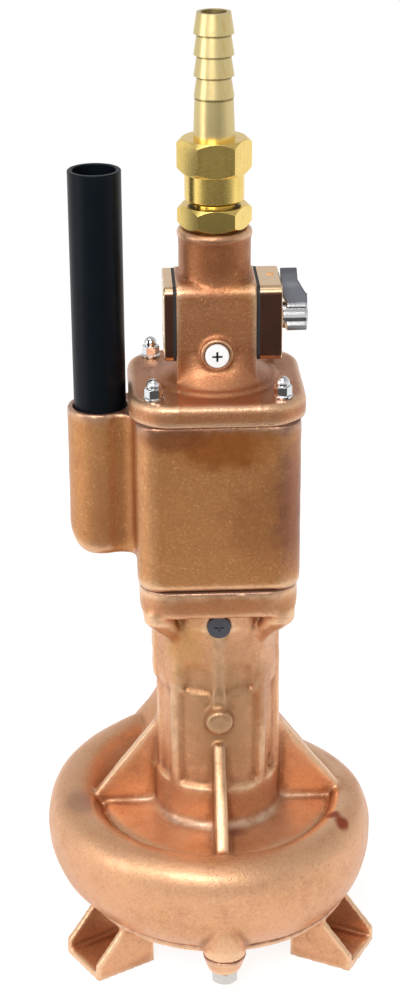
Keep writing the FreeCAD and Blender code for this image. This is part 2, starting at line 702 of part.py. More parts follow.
def foot():
    """A hollow foot along +x: a sole and two walls, open at its outer and inner ends."""
    half = FOOT_WIDTH / 2.0
    side = [V(FOOT_INNER, -half, 0), V(FOOT_OUTER, -half, 0), V(FOOT_OUTER, -half, FOOT_TOE_HEIGHT),
            V(FOOT_TOP_REACH, -half, FOOT_HEIGHT + 1.0), V(FOOT_INNER, -half, FOOT_HEIGHT + 1.0)]
    solid = Part.Face(Part.makePolygon(side + side[:1])).extrude(V(0, FOOT_WIDTH, 0))
    inside = half - FOOT_WALL
    room = box(FOOT_INNER - 1.0, FOOT_OUTER + 1.0, -inside, inside, FOOT_WALL, FOOT_HEIGHT + 2.0)
    return solid.cut(room)


def bottom_cover():
    plate = turned([(EYE_RADIUS + 2.0, FOOT_HEIGHT), (SEAM_RADIUS - 1.0, FOOT_HEIGHT),
                    (SEAM_RADIUS, FOOT_HEIGHT + 1.0), (SEAM_RADIUS, z_seam), (SPIGOT_RADIUS, z_seam),
                    (SPIGOT_RADIUS, z_eye - 1.0), (SPIGOT_RADIUS - 1.0, z_eye), (EYE_RADIUS, z_eye),
                    (EYE_RADIUS, FOOT_HEIGHT + 2.0)])
    lug = cone(LUG_FOOT_RADIUS, LUG_RADIUS, z_seam - LUG_DROP, z_seam, LUG_CIRCLE, 0)
    bridge = box(SEAM_RADIUS - 8.0, LUG_CIRCLE, -LUG_FOOT_RADIUS, LUG_FOOT_RADIUS, FOOT_HEIGHT, z_seam)
    pieces = [plate]
    for angle in LUG_ANGLES:
        pieces.append(spun(lug, angle))
        pieces.append(spun(bridge, angle))
    for angle in FOOT_ANGLES:
        pieces.append(spun(foot(), angle))
    cover = fuse(pieces)
    cuts = []
    for angle in LUG_ANGLES:
        hole = cylinder(BOLT_RADIUS + 0.3, z_seam - LUG_DROP - 1.0, z_seam + 1.0, LUG_CIRCLE, 0)
        cuts.append(spun(hole, angle))
    for x, y in strainer_screw_places():
        cuts.append(cylinder(1.5 + FIT, FOOT_HEIGHT - 1.0, z_eye - 2.0, x, y))
    return cover.cut(cuts)


def cover_bolts():
    """Three hexagon bolts that hold the bottom cover to the scroll casing."""
    under = z_seam - LUG_DROP
    head = hexagon(BOLT_HEAD, under - BOLT_HEAD_HEIGHT, under, 0, 0.8)
    shank = cylinder(BOLT_RADIUS, under - 0.5, z_seam + BOLT_GRIP)
    bolt = fuse([head, shank]).translated(V(LUG_CIRCLE, 0, 0))
    return Part.makeCompound([spun(bolt, a) for a in LUG_ANGLES])


def strainer_screw_places():
    places = []
    for angle in LUG_ANGLES:
        a = math.radians(angle)
        places.append((STRAINER_SCREW_CIRCLE * math.cos(a), STRAINER_SCREW_CIRCLE * math.sin(a)))
    return places


def strainer_plate():
    """Perforated plate across the suction eye, its holes on hexagon rings."""
    low = FOOT_HEIGHT - STRAINER_THICKNESS
    plate = cylinder(STRAINER_RADIUS, low, FOOT_HEIGHT)
    cuts = [cylinder(STRAINER_HOLE, low - 1.0, FOOT_HEIGHT + 1.0)]
    for n in range(1, STRAINER_RINGS + 1):
        for side in range(6):
            a = math.radians(60.0 * side)
            b = math.radians(60.0 * side + 120.0)
            for step in range(n):
                x = STRAINER_PITCH * (n * math.cos(a) + step * math.cos(b))
                y = STRAINER_PITCH * (n * math.sin(a) + step * math.sin(b))
                cuts.append(cylinder(STRAINER_HOLE, low - 1.0, FOOT_HEIGHT + 1.0, x, y))
    for x, y in strainer_screw_places():
        cuts.append(cylinder(1.7, low - 1.0, FOOT_HEIGHT + 1.0, x, y))
    return plate.cut(cuts)


def strainer_screws():
    low = FOOT_HEIGHT - STRAINER_THICKNESS
    screws = []
    for x, y in strainer_screw_places():
        head = cylinder(2.9, low - 2.0, low, x, y)
        head = head.makeFillet(0.9, level_edges(head, low - 2.0))
        screws.append(fuse([head, cylinder(1.5, low - 0.5, z_eye - 3.0, x, y)]))
    return Part.makeCompound(screws)


def blade():
    """One backward-curved blade, standing down from the shroud to the wear face."""
    bottom = z_eye + IMPELLER_GAP
    top = z_shroud() + 1.0
    half = BLADE_THICKNESS / 2.0
    wrap = math.radians(BLADE_WRAP)
    gain = IMPELLER_RADIUS + 4.0 - BLADE_INLET

    def at(part, side):
        """A point beside the blade's spiral centre line."""
        r = BLADE_INLET + gain * part
        outward = V(math.cos(wrap * part), math.sin(wrap * part), 0)
        around = V(-outward.y, outward.x, 0)
        across = (around * gain - outward * (r * wrap)).normalize()
        return outward * r + across * side + V(0, 0, bottom)

    nose = at(0, 0) - (at(0.02, 0) - at(0, 0)).normalize() * half
    face = Part.Face(outline([
        at(0, -half), (at(0.5, -half), at(1, -half)), at(1, half), (at(0.5, half), at(0, half)),
        (nose, at(0, -half))]))
    return face.extrude(V(0, 0, top - bottom))


def z_shroud():
    """Underside of the impeller's back shroud."""
    return z_chamber - 10.0


def impeller():
    """Semi-open impeller: hub, back shroud and six blades that face the suction eye."""
    under = z_shroud()
    top = z_chamber
    hub = turned([(0, z_eye - 1.0), (IMPELLER_HUB - 3.0, z_eye - 1.0), (IMPELLER_HUB - 1.0, z_eye + 3.0),
                  (IMPELLER_HUB, under - 8.0),
                  (IMPELLER_HUB + 3.0, under - 2.5), (IMPELLER_HUB + 9.0, under),
                  (IMPELLER_RADIUS, under), (IMPELLER_RADIUS, under + IMPELLER_SHROUD - 1.0),
                  (IMPELLER_HUB + 4.0, under + IMPELLER_SHROUD), (IMPELLER_HUB, under + IMPELLER_SHROUD + 3.0),
                  (IMPELLER_HUB, top), (0, top)])
    blades = [spun(blade(), 360.0 * i / BLADE_COUNT) for i in range(BLADE_COUNT)]
    rim = cylinder(IMPELLER_RADIUS, z_eye - 5.0, top + 1.0)
    wheel = fuse([hub] + blades).common(rim)
    bore = cylinder(IMPELLER_SHAFT_RADIUS + FIT, z_eye - 5.0, top + 5.0)
    way = key_block(FIT)
    return wheel.cut([bore, way])


def key_block(clearance):
    """The impeller's key, or with a clearance the room for it."""
    half = KEY_WIDTH / 2.0 + clearance
    low = z_chamber - 4.0 - KEY_LENGTH
    seat = IMPELLER_SHAFT_RADIUS - 2.0
    return box(seat - clearance, IMPELLER_SHAFT_RADIUS + 2.0 + clearance, -half, half,
               low - clearance, low + KEY_LENGTH + clearance)


def impeller_key():
    return key_block(0.0)


def impeller_nut():
    """Domed nut under the impeller, in the suction eye."""
    top = z_eye - 1.0
    low = top - IMPELLER_NUT_HEX
    nut = hexagon(IMPELLER_NUT, low, top, 0, 1.2)
    nut = fuse([nut, cap(IMPELLER_NUT / 2.0 - 1.5, low + 0.01, -IMPELLER_NUT_DOME)])
    return nut.cut(cylinder(thread_radius() + FIT, low + IMPELLER_NUT_END - 0.3, top + 1.0))


def thread_radius():
    return IMPELLER_SHAFT_RADIUS - 1.0


def seal_seat():
    low = z_plinth - 2.0 - SEAL_SEAT_HEIGHT
    return ring(SEAL_RADIUS, SEAL_SHAFT_RADIUS + 1.0, low, z_plinth - 2.0)


def seal_ring():
    high = z_plinth - 2.0 - SEAL_SEAT_HEIGHT - 0.1
    return ring(SEAL_RADIUS - 3.0, SEAL_SHAFT_RADIUS + FIT, high - SEAL_RING_HEIGHT, high)


def seal_bellows():
    """Rubber bellows that turns with the shaft and presses the ring against the seat."""
    high = z_plinth - 2.0 - SEAL_SEAT_HEIGHT - 0.1 - SEAL_RING_HEIGHT
    low = z_chamber
    mid = 0.5 * (high + low)
    quarter = 0.25 * (high - low)
    out = SEAL_RADIUS - 3.5
    waist = out - 2.2
    bore = SEAL_SHAFT_RADIUS + FIT
    return turned([(bore, low), (waist, low), (out, low + quarter), (waist, mid),
                   (out, high - quarter), (waist, high), (bore, high)])


# Shaft and bearings

def drive_shaft():
    """One shaft from the motor's upper bearing to the impeller's nut."""
    top = z_house_top - 1.5
    shoulder = z_bearing - 0.5
    thread_top = z_eye - 1.0
    thread_low = thread_top - IMPELLER_NUT_HEX + IMPELLER_NUT_END
    shaft = turned([(0, thread_low), (thread_radius(), thread_low), (thread_radius(), thread_top),
                    (IMPELLER_SHAFT_RADIUS, thread_top), (IMPELLER_SHAFT_RADIUS, z_chamber),
                    (SEAL_SHAFT_RADIUS, z_chamber), (SEAL_SHAFT_RADIUS, shoulder),
                    (SHAFT_RADIUS, shoulder), (SHAFT_RADIUS, top - 1.0), (SHAFT_RADIUS - 1.0, top), (0, top)])
    return shaft.cut([key_block(0.0), rotor_key_block(0.0)])


def rotor_key_block(clearance):
    half = KEY_WIDTH / 2.0 + clearance
    mid = 0.5 * (z_cylinder + z_top_plate)
    reach = 1.5 * KEY_LENGTH / 2.0 + clearance
    return box(SHAFT_RADIUS - 2.0 - clearance, SHAFT_RADIUS + 2.0 + clearance, -half, half,
               mid - reach, mid + reach)


def rotor_key():
    return rotor_key_block(0.0)


def bearing_rings(outer, low, width):
    """The fixed and the turning ring of a shielded ball bearing on the shaft."""
    fixed = ring(outer, outer - RACE, low, low + width)
    turning = ring(SHAFT_RADIUS + RACE, SHAFT_RADIUS + FIT, low, low + width)
    middle = 0.5 * (outer + SHAFT_RADIUS)
    shield = 0.8
    gap = 0.3
    for z in (low + 0.6, low + width - 0.6 - shield):
        fixed = fixed.fuse(ring(outer - RACE + 0.1, middle - 1.0, z, z + shield))
        turning = turning.fuse(ring(middle - 1.0 - gap, SHAFT_RADIUS + RACE - 0.1, z, z + shield))
    return fixed, turning


def upper_bearing():
    return bearing_rings(MOTOR_BEARING_RADIUS, z_house_top - MOTOR_BEARING_WIDTH, MOTOR_BEARING_WIDTH)


def lower_bearing():
    return bearing_rings(MOTOR_BEARING_RADIUS, z_low_plate, MOTOR_BEARING_WIDTH)


def column_bearing():
    return bearing_rings(COLUMN_BEARING_RADIUS, z_bearing, COLUMN_BEARING_WIDTH)


# Vane motor

def vane_slot(clearance):
    """A vane along +x, or with a clearance the rotor's slot for it."""
    half = VANE_THICKNESS / 2.0 + clearance
    outer = ROTOR_RADIUS - VANE_DRAW if clearance == 0.0 else ROTOR_RADIUS + 1.0
    inner = ROTOR_RADIUS - VANE_DRAW - VANE_DEPTH - clearance
    low = z_cylinder + END_PLAY
    high = z_top_plate - END_PLAY
    return box(inner, outer, -half, half, low - clearance, high + clearance)


def rotor():
    """Slotted rotor of the vane motor."""
    body = cylinder(ROTOR_RADIUS, z_cylinder + END_PLAY, z_top_plate - END_PLAY)
    cuts = [cylinder(SHAFT_RADIUS + FIT, z_cylinder, z_top_plate), rotor_key_block(0.0)]
    for i in range(VANE_COUNT):
        cuts.append(spun(vane_slot(FIT), 36.0 + 360.0 * i / VANE_COUNT))
    return body.cut(cuts)


def rotor_vanes():
    vanes = [spun(vane_slot(0.0), 36.0 + 360.0 * i / VANE_COUNT) for i in range(VANE_COUNT)]
    return Part.makeCompound(vanes)


def motor_cylinder():
    """Liner with an eccentric bore, and exhaust slots on the side of the exhaust boss."""
    body = cylinder(CYLINDER_RADIUS - FIT, z_cylinder, z_top_plate)
    cuts = [cylinder(CYLINDER_BORE, z_cylinder - 1.0, z_top_plate + 1.0, ECCENTRICITY, 0)]
    length = z_top_plate - z_cylinder
    step = length / (PORT_SLOTS + 1.0)
    for i in range(PORT_SLOTS):
        z = z_cylinder + step * (i + 1)
        cuts.append(box(-CYLINDER_RADIUS - 1.0, -20.0, -9.0, 9.0, z - 2.5, z + 2.5))
    groove = ring(CYLINDER_RADIUS + 1.0, CYLINDER_RADIUS - 2.5, z_cylinder + 6.0, z_top_plate - 6.0)
    cuts.append(groove.common(box(-CYLINDER_RADIUS - 2.0, -26.0, -24.0, 24.0, z_cylinder, z_top_plate)))
    return body.cut(cuts)


def upper_end_plate():
    """End plate with the upper bearing's seat and a kidney port that lets air in."""
    plate = cylinder(CYLINDER_RADIUS - FIT, z_top_plate, z_house_top)
    seat = cylinder(MOTOR_BEARING_RADIUS + FIT, z_house_top - MOTOR_BEARING_WIDTH, z_house_top + 1.0)
    hole = cylinder(SHAFT_RADIUS + 1.0, z_top_plate - 1.0, z_house_top)
    band = ring(CYLINDER_BORE - 3.5, ROTOR_RADIUS - 5.5, z_top_plate - 1.0, z_house_top + 1.0)
    kidney = band.common(box(8.0, CYLINDER_RADIUS, 4.0, CYLINDER_RADIUS, z_top_plate - 2.0, z_house_top + 2.0))
    return plate.cut([seat, hole, kidney])


def lower_end_plate():
    plate = cylinder(CYLINDER_RADIUS - FIT, z_low_plate, z_cylinder)
    seat = cylinder(MOTOR_BEARING_RADIUS + FIT, z_low_plate - 1.0, z_low_plate + MOTOR_BEARING_WIDTH)
    hole = cylinder(SHAFT_RADIUS + 1.0, z_low_plate, z_cylinder + 1.0)
    return plate.cut([seat, hole])


def exhaust_form():
    """Keyhole-shaped boss: a round socket that flows into the housing by concave fillets."""
    top = z_house_top - EXHAUST_BOSS_DROP
    low = top - EXHAUST_BOSS_HEIGHT
    r = EXHAUST_BOSS_RADIUS
    f = EXHAUST_FILLET
    c = EXHAUST_OFFSET
    face = HOUSING_HALF
    centre_x = -face - f
    dx = c - face - f
    dy = math.sqrt((r + f) ** 2 - dx ** 2)
    touch = V(-c + dx * r / (r + f), dy * r / (r + f), low)
    middle_dir = V(1.0 + (touch.x - centre_x) / f, (touch.y - dy) / f, 0)
    middle_dir.normalize()
    middle = V(centre_x + f * middle_dir.x, dy + f * middle_dir.y, low)

    def mirrored(p):
        return V(p.x, -p.y, p.z)

    inner = V(-face + 6.0, dy, low)
    landing = V(-face, dy, low)
    points = [inner, landing, (middle, touch), (V(-c - r, 0, low), mirrored(touch)),
              (mirrored(middle), mirrored(landing)), mirrored(inner)]
    prism = Part.Face(outline(points)).extrude(V(0, 0, top - low))
    prism = prism.makeFillet(EXHAUST_BOSS_ROUND, outer_level_edges(prism, low, -face + 5.0))
    left = -c - r
    bend = EXHAUST_ELBOW
    corner = V(left + bend * (1.0 - math.sqrt(0.5)), -dy - 1.0, low + bend * (1.0 - math.sqrt(0.5)))
    sweep = Part.Face(outline([
        V(left, -dy - 1.0, top), V(left, -dy - 1.0, low + bend), (corner, V(left + bend, -dy - 1.0, low)),
        V(-face + 6.0, -dy - 1.0, low), V(-face + 6.0, -dy - 1.0, top)])).extrude(V(0, 2.0 * dy + 2.0, 0))
    return prism.common(sweep)


def outer_level_edges(shape, z, x_limit):
    """Level edges at a height, without those beyond a limit in x."""
    return [e for e in level_edges(shape, z) if e.BoundBox.XMin < x_limit]


def stud_places():
    return [(sx * STUD_OFFSET, sy * STUD_OFFSET) for sx in (-1, 1) for sy in (-1, 1)]


def motor_housing():
    body = rounded_square(HOUSING_HALF, HOUSING_HALF, HOUSING_CORNER, z_house, z_house_top)
    body = body.makeFillet(HOUSING_FOOT_ROUND, level_edges(body, z_house))
    body = fuse([body, exhaust_form()])
    boss_top = z_house_top - EXHAUST_BOSS_DROP
    way_z = z_pipe - 30.0
    cuts = [cylinder(CYLINDER_RADIUS, z_low_plate, z_house_top + 1.0),
            cylinder(LIP_BORE, z_house - 1.0, z_low_plate + 1.0),
            cylinder(PIPE_RADIUS + FIT, z_pipe, boss_top + 1.0, -EXHAUST_OFFSET, 0),
            cylinder(PIPE_RADIUS - PIPE_WALL - PIPE_SEAT, way_z, z_pipe + 1.0, -EXHAUST_OFFSET, 0),
            rod(EXHAUST_PASSAGE, V(-EXHAUST_OFFSET, 0, way_z), V(-CYLINDER_RADIUS + 4.0, 0, way_z))]
    for x, y in stud_places():
        cuts.append(cylinder(STUD_RADIUS + STUD_CLEARANCE, z_house - 1.0, z_house_top + 1.0, x, y))
    return body.cut(cuts)


def exhaust_pipe():
    pipe = ring(PIPE_RADIUS, PIPE_RADIUS - PIPE_WALL, z_pipe, z_pipe + PIPE_LENGTH, -EXHAUST_OFFSET, 0)
    return pipe.makeChamfer(0.4, level_edges(pipe, z_pipe + PIPE_LENGTH))


def square_gasket(half, corner, hole, bottom, thickness):
    """Joint paper with a round hole and four stud holes."""
    sheet = rounded_square(half, half, corner, bottom, bottom + thickness)
    cuts = [cylinder(hole, bottom - 1.0, bottom + thickness + 1.0)]
    for x, y in stud_places():
        cuts.append(cylinder(STUD_RADIUS + STUD_CLEARANCE, bottom - 1.0, bottom + thickness + 1.0, x, y))
    return sheet.cut(cuts)


def housing_gasket():
    return square_gasket(COLLAR_HALF - 0.6, COLLAR_CORNER - 0.6, LIP_BORE, z_collar, HOUSING_PAPER)


def cover_gasket():
    return square_gasket(HOUSING_HALF - 0.4, HOUSING_CORNER - 0.4, LIP_BORE + 3.0, z_house_top, COVER_PAPER)


# Top cover

def side_prism(x0, x1, half, low, high, corner):
    """A block along x whose four long edges are rounded, as the valve block and its plates are."""
    prism = box(x0, x1, -half, half, low, high)
    long_edges = [e for e in prism.Edges if e.BoundBox.XLength > 0.9 * (x1 - x0)]
    return prism.makeFillet(corner, long_edges)


def top_cover():
    flange = rounded_square(FLANGE_HALF, FLANGE_HALF, FLANGE_CORNER, z_cover, z_flange)
    flange = flange.makeFillet(FLANGE_ROUND, level_edges(flange, z_flange))
    dish_top = z_flange + DISH_RISE
    dish = turned([(0, z_flange - 4.0), (DISH_RADIUS, z_flange - 4.0), (DISH_RADIUS, z_flange),
                   (DISH_RADIUS - 0.6, dish_top - 0.6, DISH_RADIUS - 2.0, dish_top), (0, dish_top)])
    flow = loft([
        oval_wire(DISH_RADIUS - 3.0, DISH_RADIUS - 3.0, 2.0, dish_top - 0.8),
        oval_wire(BLOCK_X + 5.2, BLOCK_Y + 6.6, 2.3, dish_top + 2.8),
        oval_wire(BLOCK_X + 1.6, BLOCK_Y + 3.2, 3.2, dish_top + 0.62 * FLARE_SIDE_HEIGHT),
        oval_wire(BLOCK_X - 0.4, BLOCK_Y + 1.3, 5.0, dish_top + FLARE_SIDE_HEIGHT),
        oval_wire(BLOCK_X - 0.8, BLOCK_Y - 0.4, 8.0, dish_top + FLARE_HEIGHT),
    ])
    block = side_prism(-BLOCK_X, BLOCK_X, BLOCK_Y, z_flange - 4.0, z_block, BLOCK_ROUND)
    neck = turned([(0, z_block - 12.0), (NECK_RADIUS, z_block - 12.0), (NECK_RADIUS, z_block + 1.5),
                   (NECK_RADIUS, z_neck - 4.2), (NECK_RADIUS + NECK_BEAD, z_neck - 3.0),
                   (NECK_RADIUS + NECK_BEAD, z_neck - 1.0), (NECK_RADIUS - 0.4, z_neck), (0, z_neck)])
    oil_z = z_flange + OIL_HEIGHT
    boss = Part.makeCone(OIL_BOSS_RADIUS + 1.2, OIL_BOSS_RADIUS, OIL_BOSS_FACE - BLOCK_Y + 6.0,
                         V(0, -BLOCK_Y + 6.0, oil_z), V(0, -1, 0))
    body = fuse([flange, dish, flow, block, neck, boss])

    cuts = [cylinder(AIR_BORE, z_throttle, z_neck + 1.0),
            cylinder(PIPE_THREAD + FIT, z_neck - NIPPLE_THREAD_LENGTH, z_neck + 1.0),
            rod(PLUG_RADIUS + RUN, V(BLOCK_X - PLUG_LENGTH - 0.5, 0, z_throttle), V(BLOCK_X + 2.0, 0, z_throttle)),
            cylinder(PLUG_PORT, z_cover, z_throttle),
            cylinder(LIP_BORE, z_cover - 1.0, z_cover + 3.0)]
    face_y = -OIL_BOSS_FACE
    cuts.append(rod(OIL_HEAD_RADIUS + 1.0, V(0, face_y + 1.0, oil_z), V(0, face_y - 3.0, oil_z)))
    cuts.append(rod(OIL_THREAD + FIT, V(0, face_y + 12.0, oil_z), V(0, face_y, oil_z)))
    cuts.append(box(-BLOCK_X - 1.0, -BLOCK_X + 9.0, -11.0, 11.0, z_throttle - 11.0, z_throttle + 11.0))
    for x, y in stud_places():
        cuts.append(cylinder(STUD_RADIUS + STUD_CLEARANCE, z_cover - 1.0, z_flange + 1.0, x, y))
    for y, z in plate_screw_places():
        cuts.append(rod(PLATE_SCREW_RADIUS + FIT, V(BLOCK_X - 8.5, y, z), V(BLOCK_X + 1.0, y, z)))
        cuts.append(rod(PLATE_SCREW_RADIUS + FIT, V(-BLOCK_X + 8.5, y, z), V(-BLOCK_X - 1.0, y, z)))
    return body.cut(cuts)


def oil_plug_screw():
    """Round white filler plug with a cross recess, its head proud of the spot face."""
    z = z_flange + OIL_HEIGHT
    seat = -OIL_BOSS_FACE + 1.0 - 0.5
    head = rod(OIL_HEAD_RADIUS, V(0, seat, z), V(0, seat - OIL_HEAD_THICKNESS, z))
    rim = [e for e in head.Edges if abs(e.BoundBox.YMin - (seat - OIL_HEAD_THICKNESS)) < 0.01
           and e.BoundBox.YLength < 0.01]
    head = head.makeFillet(0.9, rim)
    shank = rod(OIL_THREAD, V(0, seat + 9.0, z), V(0, seat, z))
    return fuse([head, shank]).cut(cross_slot(z, seat - OIL_HEAD_THICKNESS))


def oil_plug_washer():
    z = z_flange + OIL_HEIGHT
    seat = -OIL_BOSS_FACE + 1.0
    disc = rod(OIL_HEAD_RADIUS - 0.4, V(0, seat, z), V(0, seat - 0.5, z))
    return disc.cut(rod(OIL_THREAD + FIT, V(0, seat + 1.0, z), V(0, seat - 2.0, z)))


def plate_middle():
    """Height of the middle of the side plates."""
    return z_block - PLATE_DROP - PLATE_HEIGHT / 2.0


def plate_screw_places():
    mid = plate_middle()
    return [(sy * PLATE_SCREW_OFFSET, mid + sz * PLATE_SCREW_OFFSET) for sy in (-1, 1) for sz in (-1, 1)]


def side_sheet(x0, x1, hole_radius, screw_clearance):
    """A plate or gasket on the side of the valve block, with its screw holes."""
    high = z_block - PLATE_DROP
    sheet = side_prism(x0, x1, PLATE_HALF, high - PLATE_HEIGHT, high, PLATE_CORNER)
    cuts = []
    for y, z in plate_screw_places():
        cuts.append(rod(PLATE_SCREW_RADIUS + screw_clearance, V(x0 - 1.0, y, z), V(x1 + 1.0, y, z)))
    if hole_radius > 0.0:
        cuts.append(rod(hole_radius, V(x0 - 1.0, 0, z_throttle), V(x1 + 1.0, 0, z_throttle)))
    return sheet.cut(cuts)


def left_plate_gasket():
    return side_sheet(-BLOCK_X - SIDE_GASKET, -BLOCK_X, 9.0, 0.2)


def left_cover_plate():
    outer = -BLOCK_X - SIDE_GASKET - LEFT_PLATE
    plate = side_sheet(outer, -BLOCK_X - SIDE_GASKET, 0.0, 0.2)
    plate = plate.makeChamfer(0.5, end_edges(plate, outer, PLATE_HALF))
    return plate.cut(head_rooms(outer, -1.0, LEFT_SCREW_HEIGHT))


def end_edges(sheet, x, half):
    """The outer rim of a plate's face at x."""
    rim = []
    for e in sheet.Edges:
        b = e.BoundBox
        flat = abs(b.XMin - x) < 0.01 and b.XLength < 0.01
        outside = max(abs(b.YMin), abs(b.YMax)) > half - 0.01
        high = abs(b.ZMax - (z_block - PLATE_DROP)) < 0.01
        low = abs(b.ZMin - (z_block - PLATE_DROP - PLATE_HEIGHT)) < 0.01
        if flat and (outside or high or low):
            rim.append(e)
    return rim


def right_plate_gasket():
    return side_sheet(BLOCK_X, BLOCK_X + SIDE_GASKET, PLUG_RADIUS + 1.0, 0.2)


def right_cover_plate():
    inner = BLOCK_X + SIDE_GASKET
    outer = inner + RIGHT_PLATE
    plate = side_sheet(inner, outer, SPINDLE_RADIUS + RUN, 0.2)
    plate = plate.makeChamfer(0.5, end_edges(plate, outer, PLATE_HALF))
    top = z_block - PLATE_DROP
    cuts = [box(outer - 6.5, outer - 3.0, -1.0, 4.5, top - 0.8, top + 1.0)]
    cuts += head_rooms(outer, 1.0, RIGHT_SCREW_HEIGHT)
    groove = rod(SPINDLE_RADIUS + 1.9, V(inner + 4.0, 0, z_throttle), V(inner + 6.4, 0, z_throttle))
    cuts.append(groove)
    return plate.cut(cuts)


def head_rooms(face, way, height):
    """Counterbores for the screws' heads in a plate's outer face at x; way points out of it."""
    floor = face - way * (height + PLATE_SCREW_SINK)
    return [rod(PLATE_SCREW_HEAD + 0.2, V(floor, y, z), V(face + way, y, z)) for y, z in plate_screw_places()]


def plate_screw(face, way, height, y, z):
    """A socket head screw along x, sunk in a plate's outer face; way points out of it."""
    top = face - way * PLATE_SCREW_SINK
    seat = top - way * height
    head = rod(PLATE_SCREW_HEAD, V(seat, y, z), V(top, y, z))
    socket = rod(1.8, V(top - way * 0.5 * height, y, z), V(top + way, y, z))
    tip = way * (BLOCK_X - 7.0)
    shank = rod(PLATE_SCREW_RADIUS, V(tip, y, z), V(seat, y, z))
    return fuse([head, shank]).cut(socket)


def plate_screws(face, way, height):
    return Part.makeCompound([plate_screw(face, way, height, y, z) for y, z in plate_screw_places()])


def right_plate_screws():
    return plate_screws(BLOCK_X + SIDE_GASKET + RIGHT_PLATE, 1.0, RIGHT_SCREW_HEIGHT)


def left_plate_screws():
    return plate_screws(-BLOCK_X - SIDE_GASKET - LEFT_PLATE, -1.0, LEFT_SCREW_HEIGHT)


# Throttle

def throttle_plug():
    """Rotary plug with a cross port, one piece with the spindle that carries the lever."""
    inner = BLOCK_X - PLUG_LENGTH
    shoulder = BLOCK_X + SIDE_GASKET - 0.3
    end = handle_start() + SPINDLE_GRIP
    plug = rod(PLUG_RADIUS, V(inner, 0, z_throttle), V(shoulder, 0, z_throttle))
    spindle = rod(SPINDLE_RADIUS, V(shoulder - 1.0, 0, z_throttle), V(end, 0, z_throttle))
    port = rod(PLUG_PORT, V(0, -PLUG_RADIUS - 1.0, z_throttle), V(0, PLUG_RADIUS + 1.0, z_throttle))
    groove_x = BLOCK_X + SIDE_GASKET + 4.2
    neck = rod(SPINDLE_RADIUS + 1.0, V(groove_x, 0, z_throttle), V(groove_x + 2.0, 0, z_throttle))
    neck = neck.cut(rod(SPINDLE_RADIUS - 1.0, V(groove_x - 1.0, 0, z_throttle), V(groove_x + 3.0, 0, z_throttle)))
    screw = rod(2.0, V(end - 6.5, 0, z_throttle), V(end + 1.0, 0, z_throttle))
    return fuse([plug, spindle]).cut([port, neck, screw])


def spindle_o_ring():
    """Rubber ring in the spindle's groove."""
    x = BLOCK_X + SIDE_GASKET + 5.2
    tyre = Part.makeTorus(SPINDLE_RADIUS + 0.15, 0.8, V(x, 0, z_throttle), V(1, 0, 0))
    return tyre


def throttle_handle():
    """Lever: a barrel hub, a leaning blade that flares outwards to its foot, and a short fin below."""
    x0 = handle_start()
    x1 = x0 + HANDLE_WIDTH
    z = z_throttle
    hub = rod(HANDLE_HUB, V(x0, 0, z), V(x1, 0, z))
    rims = [e for e in hub.Edges if e.BoundBox.XLength < 0.01]
    hub = hub.makeChamfer(0.6, rims)
    lean = math.radians(HANDLE_LEAN)
    up = V(0, math.sin(lean), math.cos(lean))
    across = V(0, -math.cos(lean), math.sin(lean))
    front = HANDLE_FRONT
    back = front - HANDLE_BLADE
    tip = HANDLE_REACH

    def at(along, out, x=x0):
        return V(x, 0, z) + up * along + across * out

    blade = Part.Face(outline([
        at(0, front - 3.0), at(HANDLE_CHIN, front), at(0.55 * tip, front),
        (at(0.85 * tip, front - 0.6), at(tip - 1.2, front - 1.8)),
        (at(tip, front - 3.0), at(tip - 1.2, front - 4.2)),
        (at(0.8 * tip, back + 0.6), at(0.5 * tip, back)), at(0, back)])).extrude(V(HANDLE_WIDTH, 0, 0))
    outside = blade_trim(x0 + 8.5, x1 + 1.0, x1 - 0.6, at(0.62 * tip, 0), up, across)
    toe = x0 + 2.0
    low = 1.6 - HANDLE_FIN
    fin = Part.Face(outline([at(0, 4.8, toe), at(low, 4.4, toe), (at(-HANDLE_FIN, 1.4, toe), at(low, -1.6, toe)),
                             at(0, -2.0, toe)])).extrude(V(HANDLE_WIDTH - 2.4, 0, 0))
    body = fuse([hub, blade.cut(outside), fin])
    inside = blade_trim(x0 + 2.6, x0 - 1.0, x0 - 1.0, at(0.30 * tip, 0), -up, across)
    body = body.cut(inside.cut(rod(HANDLE_HUB + 0.5, V(x0 - 2.0, 0, z), V(x1, 0, z))))
    bore = rod(SPINDLE_RADIUS + FIT, V(x0 - 1.0, 0, z), V(x0 + SPINDLE_GRIP, 0, z))
    screw = rod(2.2, V(x0, 0, z), V(x1 + 1.0, 0, z))
    head = rod(4.2, V(x1 - 2.2, 0, z), V(x1 + 1.0, 0, z))
    return body.cut([bore, screw, head])


def handle_start():
    """Where the lever's hub begins, beside the thick plate."""
    return BLOCK_X + SIDE_GASKET + RIGHT_PLATE + HANDLE_GAP


def blade_trim(x_far, x_edge, x_near, middle, up, across):
    """Wedge that narrows the blade on one side; it lies beyond the middle, along up."""
    wide = across * 30.0
    start = middle - up * 5.0
    points = [V(x_edge, start.y, start.z), V(x_near, start.y, start.z),
              V(x_far, (middle + up * 2.0).y, (middle + up * 2.0).z),
              V(x_far, (middle + up * 30.0).y, (middle + up * 30.0).z),
              V(x_edge, (middle + up * 30.0).y, (middle + up * 30.0).z)]
    if x_edge == x_near:
        points = points[1:]
    face = Part.Face(Part.makePolygon([p - wide for p in points] + [points[0] - wide]))
    return face.extrude(wide * 2.0)


def handle_screw():
    """Screw that holds the lever on the spindle."""
    x0 = handle_start()
    x1 = x0 + HANDLE_WIDTH
    z = z_throttle
    head = rod(3.6, V(x1 - 2.2, 0, z), V(x1 + 0.4, 0, z))
    shank = rod(1.95, V(x0 + 3.0, 0, z), V(x1 - 2.0, 0, z))
    slot = box(x1 - 0.6, x1 + 1.0, -4.0, 4.0, z - 0.5, z + 0.5)
    return fuse([head, shank]).cut(slot)


# Fastenings of the cover

